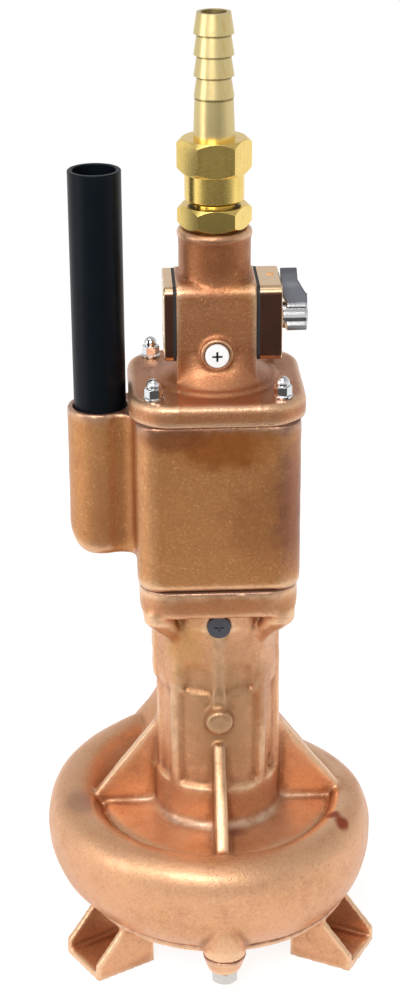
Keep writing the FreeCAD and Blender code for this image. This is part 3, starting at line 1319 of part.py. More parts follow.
def cover_studs():
    """Four long studs from the collar up through the housing and the cover."""
    low = z_collar - 13.0
    high = z_flange + WASHER_THICKNESS + NUT_HEX + 1.0
    return Part.makeCompound([cylinder(STUD_RADIUS, low, high, x, y) for x, y in stud_places()])


def cover_washers():
    low = z_flange
    return Part.makeCompound([ring(WASHER_RADIUS, STUD_RADIUS + STUD_CLEARANCE, low, low + WASHER_THICKNESS, x, y)
                              for x, y in stud_places()])


def cover_cap_nuts():
    """Domed nuts on the studs."""
    low = z_flange + WASHER_THICKNESS
    top = low + NUT_HEX
    crown = [cylinder(NUT_DOME, top - 1.0, top + 1.0), cap(NUT_DOME, top + 1.0, NUT_DOME)]
    nut = fuse([hexagon(NUT_FLATS, low, top, 0, 0.6)] + crown)
    nut = nut.cut(cylinder(STUD_RADIUS + FIT, low - 1.0, top + 1.2))
    return Part.makeCompound([nut.translated(V(x, y, 0)) for x, y in stud_places()])


# Brass fittings

def nipple_bottom():
    return z_neck + NIPPLE_GAP


def tail_bottom():
    return nipple_bottom() + NIPPLE_HEX + NIPPLE_GAP


def hex_nipple():
    """Hexagon nipple with a male pipe thread on both ends."""
    low = nipple_bottom()
    high = low + NIPPLE_HEX
    bar = hexagon(NIPPLE_FLATS, low, high, 0, 2.2)
    root = PIPE_THREAD - 1.0
    screw = turned([(0, low - NIPPLE_THREAD_LENGTH + 1.0), (root, low - NIPPLE_THREAD_LENGTH + 1.0),
                    (PIPE_THREAD, low - NIPPLE_THREAD_LENGTH + 2.0), (PIPE_THREAD, low + 1.0),
                    (PIPE_THREAD, high + NIPPLE_THREAD_LENGTH - 2.0),
                    (root, high + NIPPLE_THREAD_LENGTH - 1.0), (0, high + NIPPLE_THREAD_LENGTH - 1.0)])
    bore = cylinder(AIR_BORE, low - 20.0, high + 20.0)
    return fuse([bar, screw]).cut(bore)


def hose_tail():
    """Hose tail: threaded skirt, hexagon, plain shank and barbs that grip the air hose."""
    low = tail_bottom()
    hex_low = low + TAIL_SKIRT
    hex_high = hex_low + TAIL_HEX
    skirt = turned([(0, low), (TAIL_SKIRT_RADIUS - 2.5, low),
                    (TAIL_SKIRT_RADIUS - 0.7, low + 0.9), (TAIL_SKIRT_RADIUS, low + 2.5),
                    (TAIL_SKIRT_RADIUS, hex_low + 1.0), (0, hex_low + 1.0)])
    bar = hexagon(TAIL_FLATS, hex_low, hex_high, 0, 2.4)
    profile = [(0, hex_high - 1.0), (TAIL_SHANK_FOOT, hex_high - 1.0),
               (TAIL_SHANK_TOP, hex_high + TAIL_SHANK)]
    z = hex_high + TAIL_SHANK
    for i in range(BARB_COUNT):
        profile.append((BARB_CREST, z))
        z += BARB_PITCH
        profile.append((BARB_VALLEY, z))
    profile[-1] = (BARB_VALLEY - 0.2, z - 0.5)
    profile.append((0, z - 0.5))
    barbs = turned(profile)
    bore = cylinder(AIR_BORE, low - 1.0, z + 1.0)
    thread = cylinder(PIPE_THREAD + FIT, low - 1.0, low + NIPPLE_THREAD_LENGTH)
    return fuse([skirt, bar, barbs]).cut([bore, thread])


def build():
    """Every piece of the pump by its node name, about the shaft."""
    upper_fixed, upper_turning = upper_bearing()
    lower_fixed, lower_turning = lower_bearing()
    column_fixed, column_turning = column_bearing()
    return {
        "hose_tail": hose_tail(),
        "hex_nipple": hex_nipple(),
        "top_cover": top_cover(),
        "cover_gasket": cover_gasket(),
        "cover_studs": cover_studs(),
        "cover_washers": cover_washers(),
        "cover_cap_nuts": cover_cap_nuts(),
        "left_cover_plate": left_cover_plate(),
        "left_plate_gasket": left_plate_gasket(),
        "left_plate_screws": left_plate_screws(),
        "right_cover_plate": right_cover_plate(),
        "right_plate_gasket": right_plate_gasket(),
        "right_plate_screws": right_plate_screws(),
        "oil_plug_screw": oil_plug_screw(),
        "oil_plug_washer": oil_plug_washer(),
        "throttle_plug": throttle_plug(),
        "spindle_o_ring": spindle_o_ring(),
        "throttle_handle": throttle_handle(),
        "handle_screw": handle_screw(),
        "motor_housing": motor_housing(),
        "exhaust_pipe": exhaust_pipe(),
        "upper_end_plate": upper_end_plate(),
        "motor_cylinder": motor_cylinder(),
        "lower_end_plate": lower_end_plate(),
        "upper_bearing_outer": upper_fixed,
        "upper_bearing_inner": upper_turning,
        "lower_bearing_outer": lower_fixed,
        "lower_bearing_inner": lower_turning,
        "rotor": rotor(),
        "rotor_vanes": rotor_vanes(),
        "rotor_key": rotor_key(),
        "drive_shaft": drive_shaft(),
        "housing_gasket": housing_gasket(),
        "pump_casing": pump_casing(),
        "column_screw": column_screw(),
        "column_bearing_outer": column_fixed,
        "column_bearing_inner": column_turning,
        "seal_seat": seal_seat(),
        "seal_ring": seal_ring(),
        "seal_bellows": seal_bellows(),
        "impeller": impeller(),
        "impeller_key": impeller_key(),
        "impeller_nut": impeller_nut(),
        "bottom_cover": bottom_cover(),
        "cover_bolts": cover_bolts(),
        "strainer_plate": strainer_plate(),
        "strainer_screws": strainer_screws(),
    }


def main():
    os.makedirs("parts", exist_ok=True)
    pieces = build()
    whole = FreeCAD.BoundBox()
    for shape in pieces.values():
        whole.add(shape.optimalBoundingBox())
    move = V(-whole.Center.x, -whole.Center.y, -whole.ZMin)
    for name, shape in pieces.items():
        shape.translated(move).exportStep("parts/" + name + ".step")
    print("pieces", len(pieces))
    print("shaft axis at x %.3f, y %.3f" % (move.x, move.y))
    print("box %.1f x %.1f x %.1f mm" % (whole.XLength, whole.YLength, whole.ZLength))


main()
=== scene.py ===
# %% [markdown]
# Dressing an air-driven bronze sump pump.
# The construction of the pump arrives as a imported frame: every casting, shaft, nut and screw is
# already at its real size and place, in metres. This lesson gives those pieces their looks.
# Four castings get a skin with the soft edges of sand moulding, the repeated fasteners, barbs and
# threads come from Geometry Nodes, and every surface gets a finish made of nodes.

# %% Load the frame
import json
import math

import bmesh
import bpy
import numpy as np
from mathutils import Matrix, Vector
from mathutils.bvhtree import BVHTree

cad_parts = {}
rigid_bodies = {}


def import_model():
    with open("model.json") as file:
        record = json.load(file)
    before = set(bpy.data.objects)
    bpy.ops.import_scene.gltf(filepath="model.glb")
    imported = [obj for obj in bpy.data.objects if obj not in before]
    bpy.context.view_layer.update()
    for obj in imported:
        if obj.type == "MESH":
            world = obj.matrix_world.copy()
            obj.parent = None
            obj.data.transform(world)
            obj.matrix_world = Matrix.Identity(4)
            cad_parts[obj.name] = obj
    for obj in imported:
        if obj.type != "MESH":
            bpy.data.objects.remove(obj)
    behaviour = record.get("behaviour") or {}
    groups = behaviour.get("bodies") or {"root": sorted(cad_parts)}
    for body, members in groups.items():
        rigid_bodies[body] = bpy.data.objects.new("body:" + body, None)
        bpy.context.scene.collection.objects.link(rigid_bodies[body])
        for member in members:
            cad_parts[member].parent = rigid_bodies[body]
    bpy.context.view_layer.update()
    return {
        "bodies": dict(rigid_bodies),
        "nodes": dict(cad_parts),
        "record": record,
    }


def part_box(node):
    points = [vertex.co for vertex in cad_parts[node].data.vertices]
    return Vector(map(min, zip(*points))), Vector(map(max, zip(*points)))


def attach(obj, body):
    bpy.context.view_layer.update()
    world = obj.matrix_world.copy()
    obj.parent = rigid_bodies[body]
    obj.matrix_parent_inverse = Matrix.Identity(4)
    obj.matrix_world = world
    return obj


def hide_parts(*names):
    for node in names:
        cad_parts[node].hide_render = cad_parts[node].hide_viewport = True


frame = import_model()
nodes = frame["nodes"]
slot_of = {row["node"]: row["material_slot"] for row in frame["record"]["subparts"]}
body_of = {node: body for body, members in frame["record"]["behaviour"]["bodies"].items()
           for node in members}
MM = 0.001
print(len(nodes), "nodes in", len(frame["bodies"]), "bodies")

# %% [markdown]
# Places are measured on the frame, never typed in again.
# The drive shaft gives the pump's axis, and the gaskets and end faces give the levels at which one
# casting ends and the next begins. Finishes use these levels for the dark lines where oil and dirt
# gather, so they move with the construction.

# %% Axis and levels
def middle(node):
    """The middle of a node's box."""
    low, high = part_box(node)
    return (low + high) / 2


AXIS = Vector((middle("drive_shaft").x, middle("drive_shaft").y, 0.0))
COVER_SEAM = middle("cover_gasket").z
HOUSING_SEAM = middle("housing_gasket").z
SCROLL_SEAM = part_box("pump_casing")[0].z
NECK_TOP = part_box("top_cover")[1].z
FLANGE_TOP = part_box("cover_washers")[0].z
print("axis at %.2f, %.2f mm" % (AXIS.x / MM, AXIS.y / MM))

# %% [markdown]
# The camera stands where the photographer stood.
# The photograph looks down on the pump by a little over twenty-three degrees, from slightly to its
# left. The picture is 400 by 1000 pixels, so a focal length in pixels turns into a lens by the
# height of the sensor. The pump stands a little right of the middle, which a sideways step of the
# camera gives, and it leans by a fraction of a degree, which is the camera's roll.

# %% Camera
PICTURE_HEIGHT = 1000
PICTURE_WIDTH = 400
FOCAL_PIXELS = 2150.0
SENSOR = 36.0
PITCH = math.radians(23.4)
AZIMUTH = math.radians(-2.4)
ROLL = math.radians(-0.39)
CAMERA_DISTANCE = 1.1207
AIM_HEIGHT = 0.257
AXIS_COLUMN = 215.5
CLIP_NEAR = 0.05
CLIP_FAR = 200.0


def photo_camera():
    """The camera of the photograph, aimed at the pump's axis."""
    sight = Vector((-math.cos(PITCH) * math.sin(AZIMUTH),
                    math.cos(PITCH) * math.cos(AZIMUTH),
                    -math.sin(PITCH)))
    right = sight.cross(Vector((0, 0, 1))).normalized()
    step = (AXIS_COLUMN - PICTURE_WIDTH / 2) * CAMERA_DISTANCE / FOCAL_PIXELS
    aim = AXIS + Vector((0, 0, AIM_HEIGHT)) - right * step
    data = bpy.data.cameras.new("photo_camera")
    data.sensor_fit = "VERTICAL"
    data.sensor_height = SENSOR
    data.lens = FOCAL_PIXELS / PICTURE_HEIGHT * SENSOR
    data.clip_start = CLIP_NEAR
    data.clip_end = CLIP_FAR
    camera = bpy.data.objects.new("photo_camera", data)
    stand = Matrix.Translation(aim - sight * CAMERA_DISTANCE)
    turn = sight.to_track_quat("-Z", "Y").to_matrix().to_4x4()
    camera.matrix_world = stand @ turn @ Matrix.Rotation(ROLL, 4, "Z")
    bpy.context.scene.collection.objects.link(camera)
    return camera


bpy.context.scene.camera = photo_camera()
bpy.context.scene.view_settings.view_transform = "Standard"
print("camera at", [round(v, 3) for v in bpy.context.scene.camera.location])

# %% [markdown]
# Node trees read badly as lists of links, so arithmetic is written as arithmetic.
# A Signal wraps one socket. Adding, subtracting or multiplying signals adds the Math nodes behind the
# scenes. Every other node but a tree's own two ends comes from the function add, which takes the
# node's type, its settings, and the values or signals of its sockets. Both serve shaders and Geometry
# Nodes alike, because both kinds of tree know the Math node.

# %% Signals and nodes
class Signal:
    """One socket of a node tree, on which Python arithmetic adds Math nodes."""

    def __init__(self, tree, socket):
        self.tree = tree
        self.socket = socket

    def math(self, operation, *others):
        return add(self.tree, "ShaderNodeMath", {"operation": operation}, dict(enumerate((self,) + others)))

    def __add__(self, other):
        return self.math("ADD", other)

    def __sub__(self, other):
        return self.math("SUBTRACT", other)

    def __mul__(self, other):
        return self.math("MULTIPLY", other)

    def __neg__(self):
        return self.math("MULTIPLY", -1.0)

    def __rsub__(self, other):
        return add(self.tree, "ShaderNodeMath", {"operation": "SUBTRACT"}, {0: other, 1: self})

    __radd__ = __add__
    __rmul__ = __mul__

    def rise(self, start, end):
        """A soft step from 0 at start to 1 at end."""
        return add(self.tree, "ShaderNodeMapRange", {"interpolation_type": "SMOOTHSTEP"},
                   {"Value": self, "From Min": start, "From Max": end, "To Min": 0.0, "To Max": 1.0})

    def band(self, centre, half_width):
        """1 at the centre of a band, falling softly to 0 at its edges."""
        return (self - centre).math("ABSOLUTE").rise(half_width, 0.0)


def add(tree, kind, settings=None, inputs=None, output=0):
    """Adds one node: settings first, then values and links. Gives the signal of one output.
    A list of signals goes into one socket that takes many."""
    node = tree.nodes.new(kind)
    for name, value in (settings or {}).items():
        setattr(node, name, value)
    for key, value in (inputs or {}).items():
        signals = value if isinstance(value, list) else [value]
        for signal in signals:
            if isinstance(signal, Signal):
                tree.links.new(signal.socket, node.inputs[key])
            else:
                node.inputs[key].default_value = signal
    return Signal(tree, node.outputs[output])


# %% [markdown]
# A finish starts from one Principled shader.
# Everything that varies over a surface goes through Base Color, Roughness, Metallic, Coat Weight
# or a Bump node. What is the same all over is set straight on the shader. Patterns read Object
# coordinates, which are the pump's own metres, so a noise of scale 100 has features of a
# hundredth of a metre, about 10 mm.

# %% The Finish class
MIX_FACTOR = 0
MIX_A = 6
MIX_B = 7
MIX_RESULT = 2
EGG_CORE = 0.35
BEVEL_SAMPLES = 4
ALL_BUT_Z = (1, 1, 0)
ALL_BUT_X = (0, 1, 1)


class Finish:
    """One material in the making."""

    def __init__(self, name, **constants):
        self.material = bpy.data.materials.new(name)
        self.material.use_nodes = True
        self.tree = self.material.node_tree
        self.shader = self.tree.nodes["Principled BSDF"]
        self.place = add(self.tree, "ShaderNodeTexCoord", output="Object")
        self.set(**constants)

    def add(self, kind, settings=None, inputs=None, output=0):
        return add(self.tree, kind, settings, inputs, output)

    def along(self, axis):
        """One coordinate of the place, in metres."""
        return self.add("ShaderNodeSeparateXYZ", inputs={"Vector": self.place}, output="XYZ".index(axis))

    def vector(self, operation, *values, output=0):
        """One Vector Math node."""
        return self.add("ShaderNodeVectorMath", {"operation": operation}, dict(enumerate(values)), output)

    def noise(self, scale, detail=3.0, roughness=0.5, stretch=(1, 1, 1), seed=0.0):
        """Noise centred on zero, mostly within plus and minus a half."""
        value = self.add("ShaderNodeTexNoise", {"noise_dimensions": "4D"},
                         {"Vector": self.vector("MULTIPLY", self.place, stretch), "W": seed, "Scale": scale,
                          "Detail": detail, "Roughness": roughness})
        return (value - 0.5) * 2.0

    def attribute(self, name):
        """A number stored on the points of the mesh."""
        return self.add("ShaderNodeAttribute", {"attribute_name": name}, output="Fac")

    def mix(self, mask, under, over):
        """Lays one colour over another where the mask is 1."""
        return self.add("ShaderNodeMix", {"data_type": "RGBA", "clamp_factor": True},
                        {MIX_FACTOR: mask, MIX_A: under, MIX_B: over}, MIX_RESULT)

    def from_line(self, centre, across):
        """The distance from a straight line through the centre, in metres. Across names the two
        directions that count."""
        offset = self.vector("MULTIPLY", self.vector("SUBTRACT", self.place, centre), across)
        return self.vector("LENGTH", offset, output="Value")

    def patch(self, centre, reach, ragged):
        """A soft egg round a place: 1 inside, 0 past its half sizes, its rim made ragged by a signal."""
        offset = self.vector("DIVIDE", self.vector("SUBTRACT", self.place, centre), reach)
        return (self.vector("LENGTH", offset, output="Value") + ragged).rise(1.0, EGG_CORE)

    def set(self, **signals):
        """Links signals, or sets constants, on the shader by name."""
        for key, value in signals.items():
            socket = self.shader.inputs[key.replace("_", " ").title().replace("Ior", "IOR")]
            if isinstance(value, Signal):
                self.tree.links.new(value.socket, socket)
            else:
                socket.default_value = value
        return self

    def bump(self, height, depth, strength, edge_radius=0.0):
        """Height runs from 0 to about 1, and depth says in metres what 1 stands for. An edge radius
        rounds the shading of corners."""
        inputs = {"Strength": strength, "Distance": depth, "Height": height}
        if edge_radius:
            inputs["Normal"] = self.add("ShaderNodeBevel", {"samples": BEVEL_SAMPLES},
                                        {"Radius": edge_radius})
        return self.set(normal=self.add("ShaderNodeBump", inputs=inputs))


def rgb(red, green, blue):
    """A colour in the shader's linear numbers."""
    return (red, green, blue, 1.0)


def grey(level):
    """A grey in the shader's linear numbers."""
    return rgb(level, level, level)


# %% [markdown]
# Sand-cast bronze is the pump's main finish.
# Freshly blasted bronze isn't one brown: it is lighter and pinker on its edges, partly where they have been
# rubbed and partly as a painted highlight, duller and redder in hollows, and clouded all over by the mould.
# The castings below carry a number called relief, which is how far each point stands proud of its
# surroundings in millimetres, so edges and hollows are found without painting. Fine noise gives the sand its
# grain: dark red and pale yellow specks a millimetre across, in the colour as well as in the bump.
# Soft eggs, each with its place and half sizes, lay tones over it: purple and rust where oil has burnt in,
# and olive over the column's front. Other eggs are painted light and shade: a pale one is a painted
# reflection, and darker ones are painted shade.

# %% Cast bronze
BRONZE = rgb(0.55, 0.245, 0.088)
BRONZE_PALE = rgb(0.71, 0.37, 0.20)
# Darker bronze, partly the cover's own tone and partly painted shade.
BRONZE_DARK_AND_SHADED = rgb(0.48, 0.20, 0.09)
# Pale tone for a painted reflection.
BRONZE_PAINTED_SHEEN = rgb(0.74, 0.52, 0.37)
BRONZE_OLIVE = rgb(0.36, 0.19, 0.085)
# Pale pink for edges: rubbed wear together with a painted highlight.
BRONZE_RUBBED_AND_HIGHLIT = rgb(0.93, 0.62, 0.38)
BRONZE_DEEP = rgb(0.25, 0.075, 0.022)
BRONZE_OCHRE = rgb(0.52, 0.27, 0.06)
BRONZE_PURPLE = rgb(0.20, 0.075, 0.075)
BRONZE_RUST = rgb(0.36, 0.105, 0.018)
RUST_RED = rgb(0.34, 0.055, 0.012)
SPECK_DARK = rgb(0.30, 0.11, 0.055)
SPECK_PALE = rgb(0.92, 0.60, 0.26)
GRAIN_DEPTH = 0.16 * MM
CLOUD_SCALE = 30.0
MOTTLE_SCALE = 140.0
SAND_SCALE = 620.0
GRIT_SCALE = 1500.0


def cast_bronze(name, ground=BRONZE, lines=(), stains_and_shades=(), seed=0.0, dulled=0.5):
    """Blasted cast bronze on a ground colour, all sizes in metres. Lines are pairs of a level and a half
    height. Stains and shades are rows of a place, half sizes, a colour and a strength: real stains as well as
    painted shade and reflection."""
    finish = Finish(name, coat_roughness=0.30)
    relief = finish.attribute("relief")
    cloud = finish.noise(CLOUD_SCALE, 4.0, 0.6, seed=seed)
    mottle = finish.noise(MOTTLE_SCALE, 4.0, 0.65, seed=seed + 1.0)
    sand = finish.noise(SAND_SCALE, 2.0, 0.65, seed=seed + 2.0)
    grit = finish.noise(GRIT_SCALE, 1.0, 0.5, seed=seed + 3.0)
    edge = relief.rise(0.12, 0.75)
    hollow = (-relief).rise(0.08, 0.70)
    dull = (cloud * 1.2 + mottle * 0.9 + sand * 0.4).rise(-0.2, 1.0)
    warm = (cloud * 1.1 - mottle * 0.8).rise(0.0, 0.8)
    colour = finish.mix(dull * dulled, ground, BRONZE_DEEP)
    colour = finish.mix(warm * 0.35, colour, BRONZE_OCHRE)
    colour = finish.mix(hollow * 0.60, colour, BRONZE_DEEP)
    # Convex edges are lightened, partly as rubbed wear and partly as a painted highlight.
    colour = finish.mix(edge * 0.60, colour, BRONZE_RUBBED_AND_HIGHLIT)
    colour = finish.mix((sand + grit * 0.4).rise(0.10, 0.55) * 0.30, colour, SPECK_DARK)
    colour = finish.mix((-sand + grit * 0.6).rise(0.12, 0.60) * 0.45, colour, SPECK_PALE)
    height = finish.along("Z")
    for level, half in lines:
        line = (height + mottle * 0.3 * half).band(level, half)
        colour = finish.mix(line * (0.40 + mottle.rise(-0.4, 0.6) * 0.5), colour, BRONZE_PURPLE)
    # Each egg lays its tone: a real stain, or painted shade or painted reflection.
    for place, reach, tone, strength in stains_and_shades:
        mask = finish.patch(place, reach, mottle * 0.45 + cloud * 0.25)
        colour = finish.mix(mask * strength, colour, tone)
    rough = 0.43 + dull * 0.12 + mottle * 0.06 - edge * 0.08 + grit * 0.06
    finish.set(base_color=colour, roughness=rough, metallic=0.88, coat_weight=0.18 + edge * 0.30)
    finish.bump(sand * 0.7 + grit * 0.35 + mottle * 0.6, GRAIN_DEPTH, 0.9)
    return finish.material


# %% [markdown]
# Brass, steel and plated pieces are turned or machined.
# A turned face keeps fine rings round the lathe's axis, and a milled plate keeps straight fine
# lines. Rings are noise of the distance from the axis and of the height alone, and lines are noise
# squeezed forty times across the cutter's path.
# The Bevel node rounds the shading of sharp corners, which catches the thin bright line that every
# real edge has.

# %% Machined metals
RING_SCALE = 1800.0
RING_DEPTH = 0.02 * MM
TURNED_EDGE = 0.25 * MM
MILL_SCALE = 900.0
MILL_STRETCH = (1, 40, 1)
MILL_DEPTH = 0.015 * MM
MILLED_EDGE = 0.3 * MM
# How far the plates' painted dark reflection fades in from their front faces.
PLATE_DARK_REFLECTION = 0.5 * MM
PLATE_DARK_REFLECTION_FULL = 0.05 * MM


def tarnished(finish, colour, tarnish):
    """Bright metal's colour, tarnished in clouds and smears, and the two noises behind it."""
    cloud = finish.noise(60.0, 4.0, 0.6)
    smear = finish.noise(420.0, 3.0, 0.6, seed=4.0)
    tint = finish.mix((cloud + smear * 0.6).rise(-0.1, 0.9) * 0.5, colour, tarnish)
    return tint, cloud, smear


def turned_metal(name, colour, tarnish, roughness, ring_depth=RING_DEPTH):
    """Bright metal from a lathe, with rings round the pump's axis and tarnish in clouds."""
    finish = Finish(name, metallic=1.0)
    ring_place = finish.add("ShaderNodeCombineXYZ",
                            inputs={"X": finish.from_line(AXIS, ALL_BUT_Z), "Y": finish.along("Z")})
    rings = finish.add("ShaderNodeTexNoise", {"noise_dimensions": "2D"},
                       {"Vector": ring_place, "Scale": RING_SCALE, "Detail": 2.0})
    tint, cloud, smear = tarnished(finish, colour, tarnish)
    finish.set(base_color=tint, roughness=roughness + cloud * 0.05 + smear * 0.05)
    finish.bump(rings, ring_depth, 0.7, TURNED_EDGE)
    return finish.material


def milled_plate(name, colour, tarnish, dark, front):
    """Plate with milled lines across it. Its front face, at that place in y, is painted dark as a painted
    reflection.
    """
    finish = Finish(name, metallic=1.0)
    lines = finish.noise(MILL_SCALE, 2.0, 0.5, stretch=MILL_STRETCH)
    cloud = finish.noise(70.0, 4.0, 0.6)
    tint = finish.mix((cloud + lines * 0.3).rise(0.0, 0.9) * 0.6, colour, tarnish)
    # The front face is painted near black: a painted dark reflection.
    skin = finish.along("Y").rise(front + PLATE_DARK_REFLECTION, front + PLATE_DARK_REFLECTION_FULL)
    tint = finish.mix(skin * 0.95, tint, dark)
    finish.set(base_color=tint, roughness=0.22 + skin * 0.18 + cloud * 0.06 + lines * 0.03)
    finish.bump(lines, MILL_DEPTH, 0.6, MILLED_EDGE)
    return finish.material


# %% [markdown]
# The last finishes are the soft and the dark ones.
# Rubber, gasket board, resin and paint aren't metals, so they show their own colour with a faint
# sheen. Each still has a grain, a slight clouding and an uneven gloss.

# %% Painted, moulded and soft surfaces
MOULDED_GRAIN = 900.0
MOULDED_DEPTH = 0.03 * MM


def moulded(name, colour, worn, roughness, coat=0.0, gloss=0.5):
    """A surface that isn't metal: its colour, a worn tone in clouds, and a fine grain."""
    finish = Finish(name, coat_roughness=0.2, specular_ior_level=gloss)
    cloud = finish.noise(55.0, 4.0, 0.6)
    fine = finish.noise(MOULDED_GRAIN, 2.0, 0.5, seed=2.0)
    tint = finish.mix((cloud + fine * 0.5).rise(-0.2, 1.0) * 0.7, colour, worn)
    finish.set(base_color=tint, roughness=roughness + cloud * 0.06 + fine * 0.04, coat_weight=coat)
    finish.bump(fine, MOULDED_DEPTH, 0.6)
    return finish.material


# %% [markdown]
# The throttle lever's blade is painted a satin slate grey.
# Round the spindle the paint is missing and the hub shines. The mask between the two is the distance
# from the spindle, which runs through the handle's screw.

# %% The lever's finish
SLATE = rgb(0.105, 0.108, 0.130)
SLATE_WORN = rgb(0.19, 0.195, 0.215)
HUB_BRIGHT = rgb(0.66, 0.66, 0.67)
HUB_REACH = 8.6 * MM
HUB_RIM = 1.2 * MM
PAINT_DEPTH = 0.02 * MM


def lever_finish():
    """Satin slate on the blade, bright metal round the spindle."""
    finish = Finish("finish_lever", coat_roughness=0.25)
    cloud = finish.noise(90.0, 3.0, 0.6)
    fine = finish.noise(1100.0, 2.0, 0.5, seed=3.0)
    distance = finish.from_line(tuple(middle("handle_screw")), ALL_BUT_X)
    hub = (distance + cloud * 0.4 * MM).rise(HUB_REACH, HUB_REACH - HUB_RIM)
    paint = finish.mix((cloud + fine * 0.6).rise(0.0, 1.0) * 0.5, SLATE, SLATE_WORN)
    finish.set(base_color=finish.mix(hub, paint, HUB_BRIGHT), metallic=0.35 + hub * 0.65,
               roughness=0.38 - hub * 0.20 + fine * 0.04, coat_weight=0.25 - hub * 0.25)
    finish.bump(fine, PAINT_DEPTH, 0.5)
    return finish.material


# %% [markdown]
# The white plug has a cross recess whose walls are in shadow and full of dirt.
# A dark egg, wide as the cross and as deep as the recess, paints dirt and shade on what lies inside it.

# %% The plug's finish
PLUG_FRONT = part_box("oil_plug_screw")[0].y
CROSS_DEPTH = 1.5 * MM
CROSS_REACH = (5.0 * MM, 1.6 * MM, 5.0 * MM)
CROSS_SHADE_AND_DIRT = rgb(0.012, 0.014, 0.014)
# Near black for the recess: painted shade together with dirt.
ENAMEL = rgb(0.86, 0.86, 0.85)
ENAMEL_WORN = rgb(0.66, 0.64, 0.60)
ENAMEL_DEPTH = 0.02 * MM
ENAMEL_EDGE = 0.2 * MM


def plug_finish():
    """White enamel with painted shade and grime in its recess."""
    finish = Finish("finish_plug_and_cross", coat_roughness=0.15)
    cloud = finish.noise(160.0, 3.0, 0.6)
    fine = finish.noise(900.0, 2.0, 0.5, seed=2.0)
    plug = middle("oil_plug_screw")
    cross = finish.patch((plug.x, PLUG_FRONT + CROSS_DEPTH, plug.z), CROSS_REACH, fine * 0.05)
    enamel = finish.mix((cloud + fine * 0.4).rise(0.0, 1.0) * 0.5, ENAMEL, ENAMEL_WORN)
    # Painted shade and dirt fill the cross recess.
    finish.set(base_color=finish.mix(cross.rise(0.05, 0.45), enamel, CROSS_SHADE_AND_DIRT),
               roughness=0.30 + fine * 0.04, coat_weight=0.4)
    finish.bump(fine, ENAMEL_DEPTH, 0.4, ENAMEL_EDGE)
    return finish.material


print("plug's front at %.1f mm" % (PLUG_FRONT / MM))

# %% [markdown]
# Each material slot of the record gets its finish.
# The slots name what a piece is made of. A dictionary of finishes keyed by slot lets a loop dress
# every carried-over piece, inner ones included, and a slot without a finish would stop the script.
# The two gaskets that show only as lines have soaked up oil, so they are brown instead of black.

# %% Finishes by slot
BRASS = rgb(0.90, 0.66, 0.20)
BRASS_TARNISH = rgb(0.60, 0.38, 0.08)
GREY_TARNISH = rgb(0.42, 0.40, 0.38)
FRONT_OF_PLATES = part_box("right_cover_plate")[0].y
finishes = {
    "cast_bronze": cast_bronze("finish_cast_bronze"),
    "brass_fittings": turned_metal("finish_brass_fittings", BRASS, BRASS_TARNISH, 0.24),
    # The plates' third colour is the painted dark reflection on their fronts.
    "plate_brass": milled_plate("finish_plate_brass", rgb(0.80, 0.56, 0.34), rgb(0.50, 0.27, 0.15),
                                rgb(0.085, 0.030, 0.022), FRONT_OF_PLATES),
    "impeller_bronze": turned_metal("finish_impeller_bronze", rgb(0.66, 0.40, 0.17),
                                    rgb(0.40, 0.20, 0.07), 0.30),
    "gasket": moulded("finish_gasket", rgb(0.012, 0.011, 0.012), rgb(0.03, 0.025, 0.022), 0.55),
    "rubber": moulded("finish_rubber", grey(0.010), rgb(0.022, 0.020, 0.020), 0.45),
    "chrome_nuts": turned_metal("finish_chrome_nuts", rgb(0.74, 0.75, 0.76), rgb(0.55, 0.54, 0.53),
                                0.10, 0.004 * MM),
    "stainless": turned_metal("finish_stainless", rgb(0.60, 0.58, 0.55), GREY_TARNISH, 0.26),
    "bearing_steel": turned_metal("finish_bearing_steel", rgb(0.66, 0.66, 0.67), GREY_TARNISH, 0.14),
    "machined_iron": turned_metal("finish_machined_iron", rgb(0.36, 0.35, 0.34),
                                  rgb(0.20, 0.17, 0.15), 0.34),
    "white_plug": plug_finish(),
    "lever_chrome": lever_finish(),
    "black_pipe": moulded("finish_black_pipe", rgb(0.0025, 0.0045, 0.0075), rgb(0.005, 0.008, 0.012),
                          0.36, gloss=0.12),
    "vane_resin": moulded("finish_vane_resin", rgb(0.16, 0.075, 0.03), rgb(0.09, 0.04, 0.02), 0.5),
    "dark_screw": turned_metal("finish_dark_screw", rgb(0.13, 0.13, 0.15), rgb(0.06, 0.06, 0.07), 0.30),
    "ceramic": moulded("finish_ceramic", rgb(0.78, 0.76, 0.70), rgb(0.66, 0.63, 0.57), 0.22, coat=0.5),
    "carbon": moulded("finish_carbon", rgb(0.02, 0.02, 0.021), rgb(0.045, 0.045, 0.046), 0.38),
}


def dress(piece, material):
    """Puts one material on a piece, in its first slot."""
    piece.data.materials.clear()
    piece.data.materials.append(material)


for name, piece in nodes.items():
    dress(piece, finishes[slot_of[name]])
oiled_paper = moulded("finish_oiled_paper", rgb(0.16, 0.062, 0.03), rgb(0.07, 0.028, 0.018), 0.5)
for name in ("cover_gasket", "housing_gasket"):
    dress(nodes[name], oiled_paper)
print(len(finishes), "finishes on", len(nodes), "nodes")


# %% [markdown]
# A sand casting has no sharp edges, and it has soft fillets where walls meet.
# Rounding hundreds of edges one by one is slow and fails where they crowd. Here the whole casting
# is rebuilt as an even skin by a voxel remesh, and its points are then relaxed towards their
# neighbours, which rounds edges and fills corners alike, as sand does. Faces that a cutter has
# machined stay flat and crisp, because their points are held.

# %% Skin tools
def linked(name, mesh):
    """A new object at the origin that holds the mesh."""
    piece = bpy.data.objects.new(name, mesh)
    bpy.context.scene.collection.objects.link(piece)
    return piece


def settle(piece):
    """Keeps what a piece's modifiers make of it as its plain mesh."""
    bpy.context.view_layer.update()
    evaluated = piece.evaluated_get(bpy.context.evaluated_depsgraph_get())
    mesh = bpy.data.meshes.new_from_object(evaluated)
    piece.modifiers.clear()
    old = piece.data
    piece.data = mesh
    bpy.data.meshes.remove(old)


